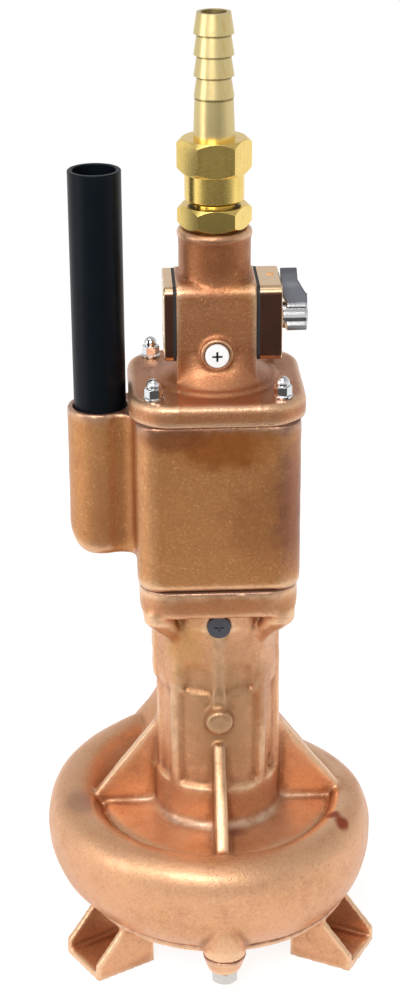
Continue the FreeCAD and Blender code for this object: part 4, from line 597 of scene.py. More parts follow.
def modify(piece, kind, **settings):
    """Adds one modifier and keeps its result as plain mesh."""
    modifier = piece.modifiers.new(kind.lower(), kind)
    for key, value in settings.items():
        setattr(modifier, key, value)
    settle(piece)


def merged_copy(node, name, added=None):
    """A copy of a node's mesh with its loose triangles sewn together, and another mesh beside them."""
    mesh = nodes[node].data.copy()
    work = bmesh.new()
    work.from_mesh(mesh)
    bmesh.ops.remove_doubles(work, verts=work.verts, dist=0.002 * MM)
    if added:
        work.from_mesh(added)
    work.to_mesh(mesh)
    work.free()
    return linked(name, mesh)


def voxel_skin(node, name, voxel, added=None):
    """A node's copy, rebuilt as one even skin of small squares."""
    piece = merged_copy(node, name, added)
    modify(piece, "REMESH", mode="VOXEL", voxel_size=voxel, adaptivity=0.0)
    return piece


def rows_of(items, attribute, width, kind=np.float64):
    """One attribute of all points, edges or normals, as rows of numbers."""
    flat = np.empty(len(items) * width, dtype=kind)
    items.foreach_get(attribute, flat)
    return flat.reshape(-1, width)


def points_of(mesh):
    """The points of a mesh as rows of x, y, z."""
    return rows_of(mesh.vertices, "co", 3)


def edges_of(mesh):
    """The edges of a mesh as rows of two point numbers."""
    return rows_of(mesh.edges, "vertices", 2, np.int32)


def put_points(mesh, points):
    """Moves the points of a mesh to new places."""
    mesh.vertices.foreach_set("co", points.ravel())
    mesh.update()


def shade_smooth(mesh):
    """Shades every face of a mesh smoothly."""
    mesh.polygons.foreach_set("use_smooth", np.ones(len(mesh.polygons), dtype=bool))


def relaxed(points, edges, share, rounds):
    """Moves each point towards the middle of its neighbours by its share, again and again."""
    first, second = edges[:, 0], edges[:, 1]
    count = len(points)
    degree = np.maximum(np.bincount(edges.ravel(), minlength=count), 1)
    for _ in range(rounds):
        total = np.stack([np.bincount(first, points[second, k], count)
                          + np.bincount(second, points[first, k], count) for k in range(3)], axis=1)
        points = points + share[:, None] * (total / degree[:, None] - points)
    return points


def soft_step(value, start, end):
    """0 below start, 1 above end, smooth between, on numpy arrays."""
    t = np.clip((value - start) / (end - start), 0.0, 1.0)
    return t * t * (3.0 - 2.0 * t)


def closed_shell(name, rings):
    """A closed mesh through rings of points, all of one length, with its faces outwards."""
    work = bmesh.new()
    rings = [[work.verts.new(point) for point in ring] for ring in rings]
    for ring, following in zip(rings, rings[1:]):
        for k in range(len(ring)):
            n = (k + 1) % len(ring)
            work.faces.new((ring[k], ring[n], following[n], following[k]))
    work.faces.new(rings[0])
    work.faces.new(rings[-1])
    bmesh.ops.recalc_face_normals(work, faces=work.faces)
    mesh = bpy.data.meshes.new(name)
    work.to_mesh(mesh)
    work.free()
    return mesh


# %% [markdown]
# The relief of a skin is the height of each point over the same skin relaxed much further.
# It is stored on the points, and the bronze finish reads it. A faint unevenness, a sum of a few
# long waves, keeps reflections from being ruler-straight, as on any mould made by hand. The waves
# are shifted inwards, so that the skin stays inside the construction's box. Where a pocket of the
# real casting is much fainter than its plain cut, that stretch of the front is smoothed further.

# %% The cast skin
HELD_DEPTH = 0.9 * MM
UNEVEN = 0.22 * MM
WAVES_INWARD = 0.7
RELAX_SHARE = 0.5
HELD_LEAST = 0.12
FAINT_EDGE = 4 * MM
FAINT_DEPTH = 12 * MM
RELIEF_ROUNDS = 45
MOST_TRIANGLES = 190000
WAVES = ((130.0, 0.0, 70.0, 0.3), (-60.0, 150.0, 40.0, 1.9), (90.0, -80.0, 190.0, 4.1),
         (210.0, 120.0, -30.0, 5.2), (-40.0, 60.0, 420.0, 2.2), (310.0, -150.0, 260.0, 0.9))


def unevenness(points):
    """A few crossed waves, about 15 to 43 mm long."""
    total = np.zeros(len(points))
    for x, y, z, phase in WAVES:
        total += np.sin(points @ np.array([x, y, z]) + phase)
    return total / len(WAVES)


def held_share(points, faces):
    """1 on the cast skin, near 0 on machined faces, given as pairs of an axis number and a place."""
    share = np.ones(len(points))
    for axis, place in faces:
        share = np.minimum(share, soft_step(np.abs(points[:, axis] - place), 0.3 * HELD_DEPTH, HELD_DEPTH))
    return share


def faded(points, edges, level, half, rounds):
    """Smooths the front of a skin many times more, within a half height of a level."""
    near = soft_step(half + FAINT_EDGE - np.abs(points[:, 2] - level), 0.0, FAINT_EDGE)
    front = soft_step(AXIS.y - FAINT_DEPTH - points[:, 1], 0.0, FAINT_EDGE)
    return relaxed(points, edges, RELAX_SHARE * near * front, rounds)


def cast_skin(node, voxel, rounds, faces, uneven=UNEVEN, added=None, faint=None):
    """The casting of a node as a soft skin with its relief stored, riding and replacing the node. What is
    added is a mesh that the remesh melts into it. Faint is a level, a half height and rounds to fade."""
    piece = voxel_skin(node, node + "_cast", voxel, added)
    mesh = piece.data
    edges = edges_of(mesh)
    points = points_of(mesh)
    share = RELAX_SHARE * (HELD_LEAST + (1 - HELD_LEAST) * held_share(points, faces))
    points = relaxed(points, edges, share, rounds)
    if faint:
        points = faded(points, edges, *faint)
    put_points(mesh, points)
    normals = rows_of(mesh.vertex_normals, "vector", 3)
    smoother = relaxed(points, edges, np.full(len(points), RELAX_SHARE), RELIEF_ROUNDS)
    relief = ((points - smoother) * normals).sum(axis=1) / MM
    waves = unevenness(points) - WAVES_INWARD
    put_points(mesh, points + normals * (uneven * held_share(points, faces) * waves)[:, None])
    mesh.attributes.new("relief", "FLOAT", "POINT").data.foreach_set("value", relief.astype(np.float32))
    triangles = 2 * len(mesh.polygons)
    if triangles > MOST_TRIANGLES:
        modify(piece, "DECIMATE", ratio=MOST_TRIANGLES / triangles)
    shade_smooth(piece.data)
    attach(piece, body_of[node])
    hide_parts(node)
    slot_of[node]
    print(piece.name, len(piece.data.polygons), "faces, relief", relief.min().round(2), relief.max().round(2))
    return piece


# %% [markdown]
# The groove round the disc gets its floor.
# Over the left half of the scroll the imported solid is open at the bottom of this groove, where the
# water way comes close under it. The real casting is closed there, so the skin is. Rays cast down
# on the casing find where the scroll's own wall begins on each line from the axis. From the disc
# to that place runs a strip that lies low in the groove, and deepens with the turn of the scroll.
# Lines that meet a web instead of the disc are left out, and their neighbours fill in for them.

# %% The groove's floor
TONGUE = 75.0
STRIP_ANGLES = np.radians(np.arange(110.0, 320.0, 2.0))
STRIP_THICKNESS = 2.6 * MM
STRIP_BURIED = 2.5 * MM
GROOVE_DEPTH = 3.0 * MM
GROOVE_INSIDE = 57.0 * MM
GROOVE_SLOPE = 60.0 * MM
GROOVE_MIDDLE = 62.3 * MM
FLOOR_UNDER_DISC = 0.4 * MM
INSIDE_DROP = 1.2 * MM
SLOPE_DROP = 0.8 * MM
WALL_DROP = 0.3 * MM
BURIED_DROP = 1.6 * MM
HALFWAY_RISE = 0.3
DISC_SLACK = 0.5 * MM
WALL_SEARCH = np.arange(63.0, 74.0, 0.5) * MM
WALL_LAST = 74.0 * MM
WALL_BELOW_DISC = 4 * MM
RAYS_ABOVE = 10 * MM


def height_under(tree, angle, reach, start):
    """The height of the casing's top at a place about the axis."""
    way = Vector((math.cos(angle), math.sin(angle), 0.0))
    hit = tree.ray_cast(AXIS + way * reach + Vector((0, 0, start)), Vector((0, 0, -1)))
    return hit[0].z if hit[0] else 0.0


def scroll_wall(tree, disc, angle, start):
    """Where the scroll's own wall begins, outward from the groove: its distance and height."""
    for reach in WALL_SEARCH:
        height = height_under(tree, angle, reach, start)
        if height > disc - WALL_BELOW_DISC:
            return reach, height
    return WALL_LAST, disc


def strip_ring(angle, disc, reach, height):
    """The outline of the strip on one line from the axis, out to the wall's distance and height."""
    turn = ((TONGUE - math.degrees(angle)) % 360.0) / 360.0
    low = disc - FLOOR_UNDER_DISC - GROOVE_DEPTH * turn
    top = [(GROOVE_INSIDE, low - INSIDE_DROP), (GROOVE_SLOPE, low - SLOPE_DROP), (GROOVE_MIDDLE, low),
           (0.5 * (GROOVE_MIDDLE + reach), low + HALFWAY_RISE * (height - low)),
           (reach, height - WALL_DROP), (reach + STRIP_BURIED, height - BURIED_DROP)]
    outline = top + [(r, z - STRIP_THICKNESS) for r, z in reversed(top)]
    return [(AXIS.x + r * math.cos(angle), AXIS.y + r * math.sin(angle), z) for r, z in outline]


def groove_floor():
    """A closed strip from the disc to the scroll's wall, for the left half of the groove."""
    work = bmesh.new()
    work.from_mesh(nodes["pump_casing"].data)
    tree = BVHTree.FromBMesh(work)
    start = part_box("pump_casing")[1].z + RAYS_ABOVE
    heights = np.array([height_under(tree, a, GROOVE_INSIDE, start) for a in STRIP_ANGLES])
    disc = float(np.median(heights))
    free = heights < disc + DISC_SLACK
    walls = np.array([scroll_wall(tree, disc, a, start) for a in STRIP_ANGLES])
    work.free()
    wall_reach = np.interp(STRIP_ANGLES, STRIP_ANGLES[free], walls[free, 0])
    wall_height = np.interp(STRIP_ANGLES, STRIP_ANGLES[free], walls[free, 1])
    print("groove floor on", int(free.sum()), "free lines, disc at %.1f mm" % (disc / MM))
    return closed_shell("groove_floor", [strip_ring(angle, disc, reach, height) for angle, reach, height
                                         in zip(STRIP_ANGLES, wall_reach, wall_height)])


# %% [markdown]
# The block's foot runs out into a hollow flare on the dish.
# It is the founder's fillet, and from the front it gives the two slanting flanks beside the plug.
# Each outline is the block's own rounded square, drawn out to a circle as it comes down. The remesh
# melts the flare into the cover. It ends just under the side plates, so they stay clear.

# %% The flare under the block
FLARE_CIRCLE = 31.0 * MM
FLARE_HALF_WIDTH = 19.7 * MM
FLARE_HALF_DEPTH = 19.2 * MM
FLARE_SQUARENESS = 6.0
FLARE_UNDER_PLATES = 1.2 * MM
FLARE_BELOW = 2.0 * MM
FLARE_POINTS = 96
FLARE_LEVELS = 12
DISH_RISE = 2.0 * MM


def flare_outline(turn, foot, rise):
    """One level of the flare, as a closed row of points: the block at a quarter turn, the circle at none."""
    height = foot + rise * (1.0 - math.cos(turn))
    points = []
    for angle in np.linspace(0.0, 2 * math.pi, FLARE_POINTS, endpoint=False):
        across = abs(math.cos(angle)) / FLARE_HALF_WIDTH
        along = abs(math.sin(angle)) / FLARE_HALF_DEPTH
        block = (across ** FLARE_SQUARENESS + along ** FLARE_SQUARENESS) ** (-1 / FLARE_SQUARENESS)
        reach = block + (FLARE_CIRCLE - block) * (1.0 - math.sin(turn))
        points.append(AXIS + Vector((reach * math.cos(angle), reach * math.sin(angle), height)))
    return points


def block_flare():
    """The flare as one closed shell, solid right through."""
    foot = FLANGE_TOP + DISH_RISE
    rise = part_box("left_plate_gasket")[0].z - FLARE_UNDER_PLATES - foot
    levels = [flare_outline(turn, foot, rise) for turn in np.linspace(0.0, math.pi / 2, FLARE_LEVELS)]
    levels.insert(0, [point - Vector((0, 0, FLARE_BELOW)) for point in levels[0]])
    print("flare from %.1f mm, %.1f mm high" % (foot / MM, rise / MM))
    return closed_shell("block_flare", levels)


# %% [markdown]
# Each casting gets its skin.
# The machined faces that stay flat are the castings' own ends and the seats of the side plates'
# gaskets. The voxel is finest on the cover, whose features are smallest, and coarsest on the big
# scroll. The column's two upper pockets are the ones that are smoothed further.

# %% The four castings
X = 0
Z = 2
SCROLL_UNEVEN = 0.34 * MM
POCKETS_BELOW = 44.5 * MM
POCKETS_HALF_HEIGHT = 15 * MM
POCKETS_ROUNDS = 45

top_cover = cast_skin("top_cover", voxel=0.8 * MM, rounds=6,
                      faces=[(Z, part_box("top_cover")[0].z), (Z, NECK_TOP),
                             (X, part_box("left_plate_gasket")[1].x),
                             (X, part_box("right_plate_gasket")[0].x)],
                      added=block_flare())
motor_housing = cast_skin("motor_housing", voxel=1.0 * MM, rounds=6,
                          faces=[(Z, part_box("motor_housing")[0].z), (Z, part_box("motor_housing")[1].z)])
pump_casing = cast_skin("pump_casing", voxel=1.1 * MM, rounds=6,
                        faces=[(Z, SCROLL_SEAM), (Z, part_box("pump_casing")[1].z)],
                        uneven=SCROLL_UNEVEN, added=groove_floor(),
                        faint=(HOUSING_SEAM - POCKETS_BELOW, POCKETS_HALF_HEIGHT, POCKETS_ROUNDS))
bottom_cover = cast_skin("bottom_cover", voxel=0.9 * MM, rounds=5,
                         faces=[(Z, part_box("bottom_cover")[1].z), (Z, 0.0)])

# %% [markdown]
# The castings left the foundry alike and have aged differently, so each has its own bronze, and the cover's
# darker one is partly painted shade.
# Purple lines of burnt oil run along the seams. The eggs are placed about the pump's axis, each with its
# middle on the casting's surface or behind it, which decides how much of the egg shows. Most are stains; the
# pale egg on the disc is a painted reflection, and the dark eggs on the cover's neck and dish and on the
# housing's right side are painted shade.

# %% The castings' bronzes
def egg_row(x, y, z, half_x, half_y, half_z, tone, strength):
    """An egg's row in metres, from a place about the shaft and half sizes in millimetres, for stained patches
    and for painted shade and reflection.
    """
    place = (AXIS.x + x * MM, AXIS.y + y * MM, z * MM)
    return place, (half_x * MM, half_y * MM, half_z * MM), tone, strength


COVER_STAINS_AND_SHADE = [
    egg_row(0, -44, 328, 60, 22, 6, BRONZE_PURPLE, 0.25),
    egg_row(-26, -18, 340, 14, 18, 26, BRONZE_RUST, 0.55),
    egg_row(26, -18, 340, 14, 18, 26, BRONZE_PURPLE, 0.45),
    # Painted shade darkens the dish in front of the block.
    egg_row(0, -30, 331, 40, 24, 9, BRONZE_DARK_AND_SHADED, 0.60),
    # Painted shade darkens the neck.
    egg_row(0, -18, 394, 24, 30, 20, BRONZE_DEEP, 0.60),
]
HOUSING_STAINS_AND_SHADE = [
    egg_row(2, -42, 302, 32, 16, 15, BRONZE_RUST, 0.85),
    egg_row(-22, -42, 308, 26, 16, 10, BRONZE_DEEP, 0.70),
    # Painted shade: the right side of the housing's front is darkened, purple towards its edge.
    egg_row(38, -38, 270, 14, 16, 52, BRONZE_PURPLE, 0.60),
    egg_row(26, -42, 262, 30, 16, 34, BRONZE_DEEP, 0.35),
    egg_row(-60, -30, 250, 26, 26, 50, BRONZE_DEEP, 0.40),
]
CASING_STAINS_AND_SHEEN = [
    # Painted reflection: the disc is paled as if it showed the bright room.
    egg_row(0, 0, 78, 66, 66, 9, BRONZE_PAINTED_SHEEN, 0.75),
    egg_row(0, -40, 146, 52, 34, 62, BRONZE_OLIVE, 0.75),
    egg_row(0, -38, 214, 60, 22, 9, BRONZE_RUST, 0.60),
    egg_row(-20, -30, 186, 20, 20, 26, BRONZE_OCHRE, 0.40),
    egg_row(28, -28, 150, 14, 18, 34, BRONZE_RUST, 0.50),
    egg_row(-74, -16, 87, 13, 17, 9, BRONZE_PURPLE, 0.38),
    egg_row(8, -39, 79, 10, 6, 4, BRONZE_PURPLE, 0.45),
    egg_row(61.5, -32.5, 85, 6, 5, 7, RUST_RED, 1.0),
    egg_row(65.5, -39, 83, 5, 8, 7, RUST_RED, 1.0),
]
FEET_STAINS = [egg_row(0, 0, 0, 110, 110, 9, BRONZE_DEEP, 0.50)]

# The cover's darker ground is partly its own tone and partly painted shade.
dress(top_cover, cast_bronze("bronze_top_cover", ground=BRONZE_DARK_AND_SHADED, lines=[(COVER_SEAM, 2.5 * MM)],
                             stains_and_shades=COVER_STAINS_AND_SHADE, seed=3.0, dulled=0.62))
dress(motor_housing, cast_bronze("bronze_motor_housing",
                                 lines=[(COVER_SEAM, 9 * MM), (HOUSING_SEAM, 4 * MM)],
                                 stains_and_shades=HOUSING_STAINS_AND_SHADE, seed=11.0, dulled=0.55))
dress(pump_casing, cast_bronze("bronze_pump_casing", ground=BRONZE_PALE, lines=[(HOUSING_SEAM, 3 * MM)],
                               stains_and_shades=CASING_STAINS_AND_SHEEN, seed=21.0, dulled=0.34))
dress(bottom_cover, cast_bronze("bronze_bottom_cover", ground=BRONZE_PALE, lines=[(SCROLL_SEAM, 3 * MM)],
                                stains_and_shades=FEET_STAINS, seed=31.0, dulled=0.5))
print(len(COVER_STAINS_AND_SHADE + HOUSING_STAINS_AND_SHADE + CASING_STAINS_AND_SHEEN + FEET_STAINS), "stains on four castings")

# %% [markdown]
# The throttle lever is a small die casting with soft edges, so it gets a skin as well.
# Its voxel is three times finer, and it has no relief and no waves, because paint covers both.

# %% The lever
LEVER_VOXEL = 0.32 * MM
LEVER_ROUNDS = 5


def soft_skin(node, voxel, rounds):
    """A small piece as a soft skin, riding and replacing its node."""
    piece = voxel_skin(node, node + "_soft", voxel)
    points = points_of(piece.data)
    share = np.full(len(points), RELAX_SHARE)
    put_points(piece.data, relaxed(points, edges_of(piece.data), share, rounds))
    shade_smooth(piece.data)
    dress(piece, finishes[slot_of[node]])
    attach(piece, body_of[node])
    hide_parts(node)
    slot_of[node]
    print(piece.name, len(piece.data.polygons), "faces")
    return piece


soft_skin("throttle_handle", LEVER_VOXEL, LEVER_ROUNDS)

# %% [markdown]
# What repeats is grown by Geometry Nodes.
# Cap nuts, hose barbs and thread turns follow a rule: one form, placed again and again at an even
# pitch. Each gets a small tree with named inputs for its sizes. The tree ends in Realize Instances
# and Set Material, and its result is kept as a plain mesh.

# %% Growing pieces
SHARP_ANGLE = math.radians(32)
ROUND_SIDES = 64


class Grower:
    """A Geometry Nodes tree in the making. Sizes are pairs of a name and a value, the tree's inputs."""

    def __init__(self, name, **sizes):
        self.tree = bpy.data.node_groups.new(name, "GeometryNodeTree")
        self.tree.interface.new_socket("Geometry", in_out="OUTPUT", socket_type="NodeSocketGeometry")
        self.values = {}
        for size, value in sizes.items():
            kind = "NodeSocketInt" if isinstance(value, int) else "NodeSocketFloat"
            socket = self.tree.interface.new_socket(size, in_out="INPUT", socket_type=kind)
            self.values[socket.identifier] = value
        self.entry = self.tree.nodes.new("NodeGroupInput")

    def __getitem__(self, size):
        return Signal(self.tree, self.entry.outputs[size])

    def add(self, kind, settings=None, inputs=None, output=0):
        return add(self.tree, kind, settings, inputs, output)

    def lift(self, shape, height):
        """A shape moved up."""
        place = self.add("ShaderNodeCombineXYZ", inputs={"Z": height})
        return self.add("GeometryNodeTransform", inputs={"Geometry": shape, "Translation": place})

    def bar(self, radius, low, length, sides=ROUND_SIDES):
        """An upright bar with so many sides, from a height up."""
        shape = self.add("GeometryNodeMeshCylinder",
                         inputs={"Vertices": sides, "Radius": radius, "Depth": length})
        return self.lift(shape, length * 0.5 + low)

    def cone(self, foot, head, low, length):
        """An upright cone from a foot radius to a head radius."""
        shape = self.add("GeometryNodeMeshCone", inputs={"Vertices": ROUND_SIDES, "Radius Top": head,
                                                         "Radius Bottom": foot, "Depth": length})
        return self.lift(shape, low)

    def meet(self, operation, *shapes):
        """Union or intersection of shapes."""
        return self.add("GeometryNodeMeshBoolean", {"operation": operation, "solver": "EXACT"},
                        {1: list(shapes)})

    def without(self, shape, *tools):
        """A shape with other shapes cut away."""
        return self.add("GeometryNodeMeshBoolean", {"operation": "DIFFERENCE", "solver": "EXACT"},
                        {0: shape, 1: list(tools)})

    def grow(self, shape, name, material, node, place):
        """Ends the tree, runs it, and puts its plain mesh in the place of a node."""
        shape = self.add("GeometryNodeRealizeInstances", inputs={"Geometry": shape})
        shape = self.add("GeometryNodeSetMaterial", inputs={"Geometry": shape, "Material": material})
        self.tree.links.new(shape.socket, self.tree.nodes.new("NodeGroupOutput").inputs[0])
        piece = linked(name, bpy.data.meshes.new(name))
        modifier = piece.modifiers.new("grower", "NODES")
        modifier.node_group = self.tree
        for identifier, value in self.values.items():
            modifier[identifier] = value
        settle(piece)
        mesh = piece.data
        mesh.transform(Matrix.Translation(place))
        shade_smooth(mesh)
        mesh.set_sharp_from_angle(angle=SHARP_ANGLE)
        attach(piece, body_of[node])
        slot_of[node]
        points = points_of(mesh)
        print(name, len(mesh.polygons), "faces", (points.min(0) / MM).round(1), (points.max(0) / MM).round(1))
        return piece


# %% [markdown]
# A cap nut is a hexagon with turned corners, a short neck and a dome over the stud's end.
# The hexagon is a six-sided bar that meets a flat cone, which takes its corners off as the lathe
# does. The four nuts stand on a grid of two by two points, each turned as the spanner left it.

# %% Cap nuts
NUT_FLATS = 8.0 * MM
NUT_HEXAGON = 5.0 * MM
NUT_NECK = 1.0 * MM
NUT_DOME = 3.5 * MM
NUT_TURNED = 0.47
NUT_SLOPE = 1.8
NECK_WIDTH = 0.90
NECK_OVERLAP = 1.2
BELLY_WIDTH = 1.2
BELLY_LOW = 0.55
NUT_SIDES = 32
NUT_RINGS = 20
MOST_SPIN = 1.0
SPIN_SEED = 5
HEX_SIDES = 6
HEX_REACH = 1 / math.sqrt(3.0)


def cap_nuts():
    """Four cap nuts on the cover's studs."""
    low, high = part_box("cover_cap_nuts")
    g = Grower("cap_nuts", Flats=NUT_FLATS, Hexagon=NUT_HEXAGON, Neck=NUT_NECK, Dome=NUT_DOME,
               Along=high.x - low.x - 2 * NUT_FLATS * HEX_REACH, Across=high.y - low.y - NUT_FLATS)
    prism = g.bar(g["Flats"] * HEX_REACH, 0.0, g["Hexagon"], HEX_SIDES)
    turned = g["Flats"] * NUT_TURNED
    hexagon = g.meet("INTERSECT", prism, g.cone(turned + g["Hexagon"] * NUT_SLOPE, turned, 0.0, g["Hexagon"]))
    neck = g.bar(g["Dome"] * NECK_WIDTH, g["Hexagon"] * 0.5,
                 g["Hexagon"] * 0.5 + g["Neck"] * NECK_OVERLAP, NUT_SIDES)
    ball = g.add("GeometryNodeMeshUVSphere",
                 inputs={"Segments": NUT_SIDES, "Rings": NUT_RINGS, "Radius": g["Dome"]})
    belly = g.bar(g["Dome"] * BELLY_WIDTH, g["Hexagon"] + g["Neck"] * BELLY_LOW,
                  g["Dome"] + g["Neck"], NUT_SIDES)
    dome = g.meet("INTERSECT", g.lift(ball, g["Hexagon"] + g["Neck"]), belly)
    nut = g.meet("UNION", hexagon, neck, dome)
    corners = g.add("GeometryNodeMeshGrid", inputs={"Size X": g["Along"], "Size Y": g["Across"],
                                                    "Vertices X": 2, "Vertices Y": 2})
    spin = g.add("FunctionNodeRandomValue", {"data_type": "FLOAT_VECTOR"},
                 {0: (0.0, 0.0, 0.0), 1: (0.0, 0.0, MOST_SPIN), "Seed": SPIN_SEED})
    nuts = g.add("GeometryNodeInstanceOnPoints",
                 inputs={"Points": corners, "Instance": nut, "Rotation": spin})
    piece = g.grow(nuts, "cap_nuts_domed", finishes["chrome_nuts"], "cover_cap_nuts",
                   Vector(((low.x + high.x) / 2, (low.y + high.y) / 2, low.z)))
    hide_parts("cover_cap_nuts")
    return piece


cap_nuts()

# %% [markdown]
# The hose tail is turned from hexagon bar.
# Its barbs are cones, wide end down, stacked at an even pitch on a line of points, so that a hose
# slides on and doesn't slide off. Shank, hexagon and skirt are joined to them, and the bore and the
# thread's room are cut last. Its main sizes are inputs of the tree.

# %% Hose tail
TAIL_FLATS = 32.0 * MM
TAIL_SKIRT = 15.0 * MM
TAIL_HEXAGON = 17.0 * MM
TAIL_TURNED = 0.495
TAIL_SLOPE = 1.15
SKIRT_RADIUS = 14.8 * MM
SKIRT_CHAMFER = 2.2 * MM
SHANK_FOOT = 10.3 * MM
SHANK_HEAD = 9.5 * MM
BARB_PITCH = 10.1 * MM
BARB_COUNT = 4
BARB_CREST = 9.9 * MM
BARB_VALLEY = 8.3 * MM
CORE_INSIDE = 0.2 * MM
BORE_RADIUS = 6.3 * MM
BORE_CUT = 120 * MM
THREAD_RADIUS = 13.3 * MM
THREAD_CUT = 19 * MM
CUT_START = -5 * MM
OVERLAP = 1 * MM


def hose_tail():
    """The hose tail as one piece, turned, barbed and bored."""
    low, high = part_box("hose_tail")
    shank_length = high.z - low.z - TAIL_SKIRT - TAIL_HEXAGON - BARB_COUNT * BARB_PITCH
    g = Grower("hose_tail", Flats=TAIL_FLATS, Skirt=TAIL_SKIRT, Hexagon=TAIL_HEXAGON, Shank=shank_length,
               Pitch=BARB_PITCH, Barbs=BARB_COUNT, Crest=BARB_CREST, Valley=BARB_VALLEY,
               Bore=BORE_RADIUS, Skirt_Radius=SKIRT_RADIUS, Thread=THREAD_RADIUS)
    hex_low = g["Skirt"]
    hex_high = g["Skirt"] + g["Hexagon"]
    skirt = g.meet("INTERSECT", g.bar(g["Skirt_Radius"], 0.0, g["Skirt"] + OVERLAP),
                   g.cone(g["Skirt_Radius"] - SKIRT_CHAMFER, g["Skirt_Radius"] * 3.0,
                          0.0, g["Skirt_Radius"] * 2.0))
    prism = g.bar(g["Flats"] * HEX_REACH, hex_low, g["Hexagon"], HEX_SIDES)
    turned = g["Flats"] * TAIL_TURNED
    wide = turned + g["Hexagon"] * TAIL_SLOPE
    hexagon = g.meet("INTERSECT", prism, g.cone(wide, turned, hex_low, g["Hexagon"]),
                     g.cone(turned, wide, hex_low, g["Hexagon"]))
    shank = g.cone(SHANK_FOOT, SHANK_HEAD, hex_high - OVERLAP, g["Shank"] + OVERLAP)
    line = g.add("GeometryNodeMeshLine", {"mode": "OFFSET"},
                 {"Count": g["Barbs"],
                  "Start Location": g.add("ShaderNodeCombineXYZ", inputs={"Z": hex_high + g["Shank"]}),
                  "Offset": g.add("ShaderNodeCombineXYZ", inputs={"Z": g["Pitch"]})})
    barb = g.cone(g["Crest"], g["Valley"], 0.0, g["Pitch"])
    barbs = g.add("GeometryNodeInstanceOnPoints", inputs={"Points": line, "Instance": barb})
    barbs = g.add("GeometryNodeRealizeInstances", inputs={"Geometry": barbs})
    core = g.bar(g["Valley"] - CORE_INSIDE, hex_low,
                 g["Hexagon"] + g["Shank"] + g["Pitch"] * (BARB_COUNT - 0.5))
    solid = g.meet("UNION", skirt, hexagon, shank, core, barbs)
    solid = g.without(solid, g.bar(g["Bore"], CUT_START, BORE_CUT), g.bar(g["Thread"], CUT_START, THREAD_CUT))
    piece = g.grow(solid, "hose_tail_turned", finishes["brass_fittings"], "hose_tail",
                   Vector((AXIS.x, AXIS.y, low.z)))
    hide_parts("hose_tail")
    print("shank %.1f mm long" % (shank_length / MM))
    return piece


tail = hose_tail()

# %% [markdown]
# The brass of the tail is paler above its hexagon, where it was only turned and never polished.
# Upright streaks run down it, a painted reflection of the room in the round brass. Under each barb's crest a
# dark line of painted shade and dirt is drawn just below the crest's level.

# %% The tail's finish
BRASS_TURNED = rgb(0.60, 0.50, 0.27)
# Dark brass for the lines under the crests: painted shade together with dirt.
BRASS_SHADE_AND_DIRT = rgb(0.17, 0.12, 0.04)
STREAK_SCALE = 900.0
STREAK_STRETCH = (1.0, 1.0, 0.03)
STREAK_DEPTH = 0.02 * MM
STREAK_EDGE = 0.2 * MM
PALE_FADE = 3 * MM
SHADE_AND_DIRT_BELOW = 0.7 * MM
SHADE_AND_DIRT_HALF = 0.9 * MM


def tail_finish():
    """Polished brass on the hexagon, duller above it with streaks of painted reflection, and painted shade
    and grime under the barbs.
    """
    finish = Finish("finish_tail_brass", metallic=1.0)
    low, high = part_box("hose_tail")
    height = finish.along("Z")
    colour, cloud, smear = tarnished(finish, BRASS, BRASS_TARNISH)
    streak = finish.add("ShaderNodeTexNoise", {"noise_dimensions": "3D"},
                        {"Vector": finish.vector("MULTIPLY", finish.place, STREAK_STRETCH),
                         "Scale": STREAK_SCALE, "Detail": 2.0}) - 0.5
    hex_top = low.z + TAIL_SKIRT + TAIL_HEXAGON
    above = (height + smear * 0.5 * MM).rise(hex_top, hex_top + PALE_FADE)
    colour = finish.mix(above * 0.8, colour, BRASS_TURNED)
    # Upright streaks are painted reflection: darker bands running down the round brass.
    colour = finish.mix(streak.rise(0.02, 0.30) * 0.55, colour, BRASS_TARNISH)
    crests = [high.z - (BARB_COUNT - barb) * BARB_PITCH for barb in range(BARB_COUNT)]
    # Painted shade and dirt: a dark band just below each crest.
    crest_shade_and_dirt = sum(height.band(crest - SHADE_AND_DIRT_BELOW, SHADE_AND_DIRT_HALF) for crest in crests)
    colour = finish.mix(crest_shade_and_dirt * 0.85, colour, BRASS_SHADE_AND_DIRT)
    finish.set(base_color=colour, roughness=0.26 + above * 0.08 + cloud * 0.05 + smear * 0.05)
    finish.bump(streak, STREAK_DEPTH, 0.5, STREAK_EDGE)
    print("barb crests at", [round(crest / MM, 1) for crest in crests], "mm")
    return finish.material


dress(tail, tail_finish())

# %% [markdown]
# The discharge port at the back has an inside thread.
# A thread is one ridge wound as a helix: a spiral curve of constant radius, with a small triangle
# swept along it. Only its turns inside the port's mouth can be seen, from behind and above.

# %% Port thread
port = next(row for row in frame["record"]["mounts"] if row["name"] == "discharge_port")
PORT_RADIUS = port["dims"]["r_mm"] * MM
PORT_DEPTH = port["dims"]["length_mm"] * MM
THREAD_PITCH = 2.309 * MM
THREAD_RIDGE = 0.85 * MM
THREAD_SUNK = 0.15 * MM
PLAIN_ENDS = 2 * MM
TURN_STEPS = 72


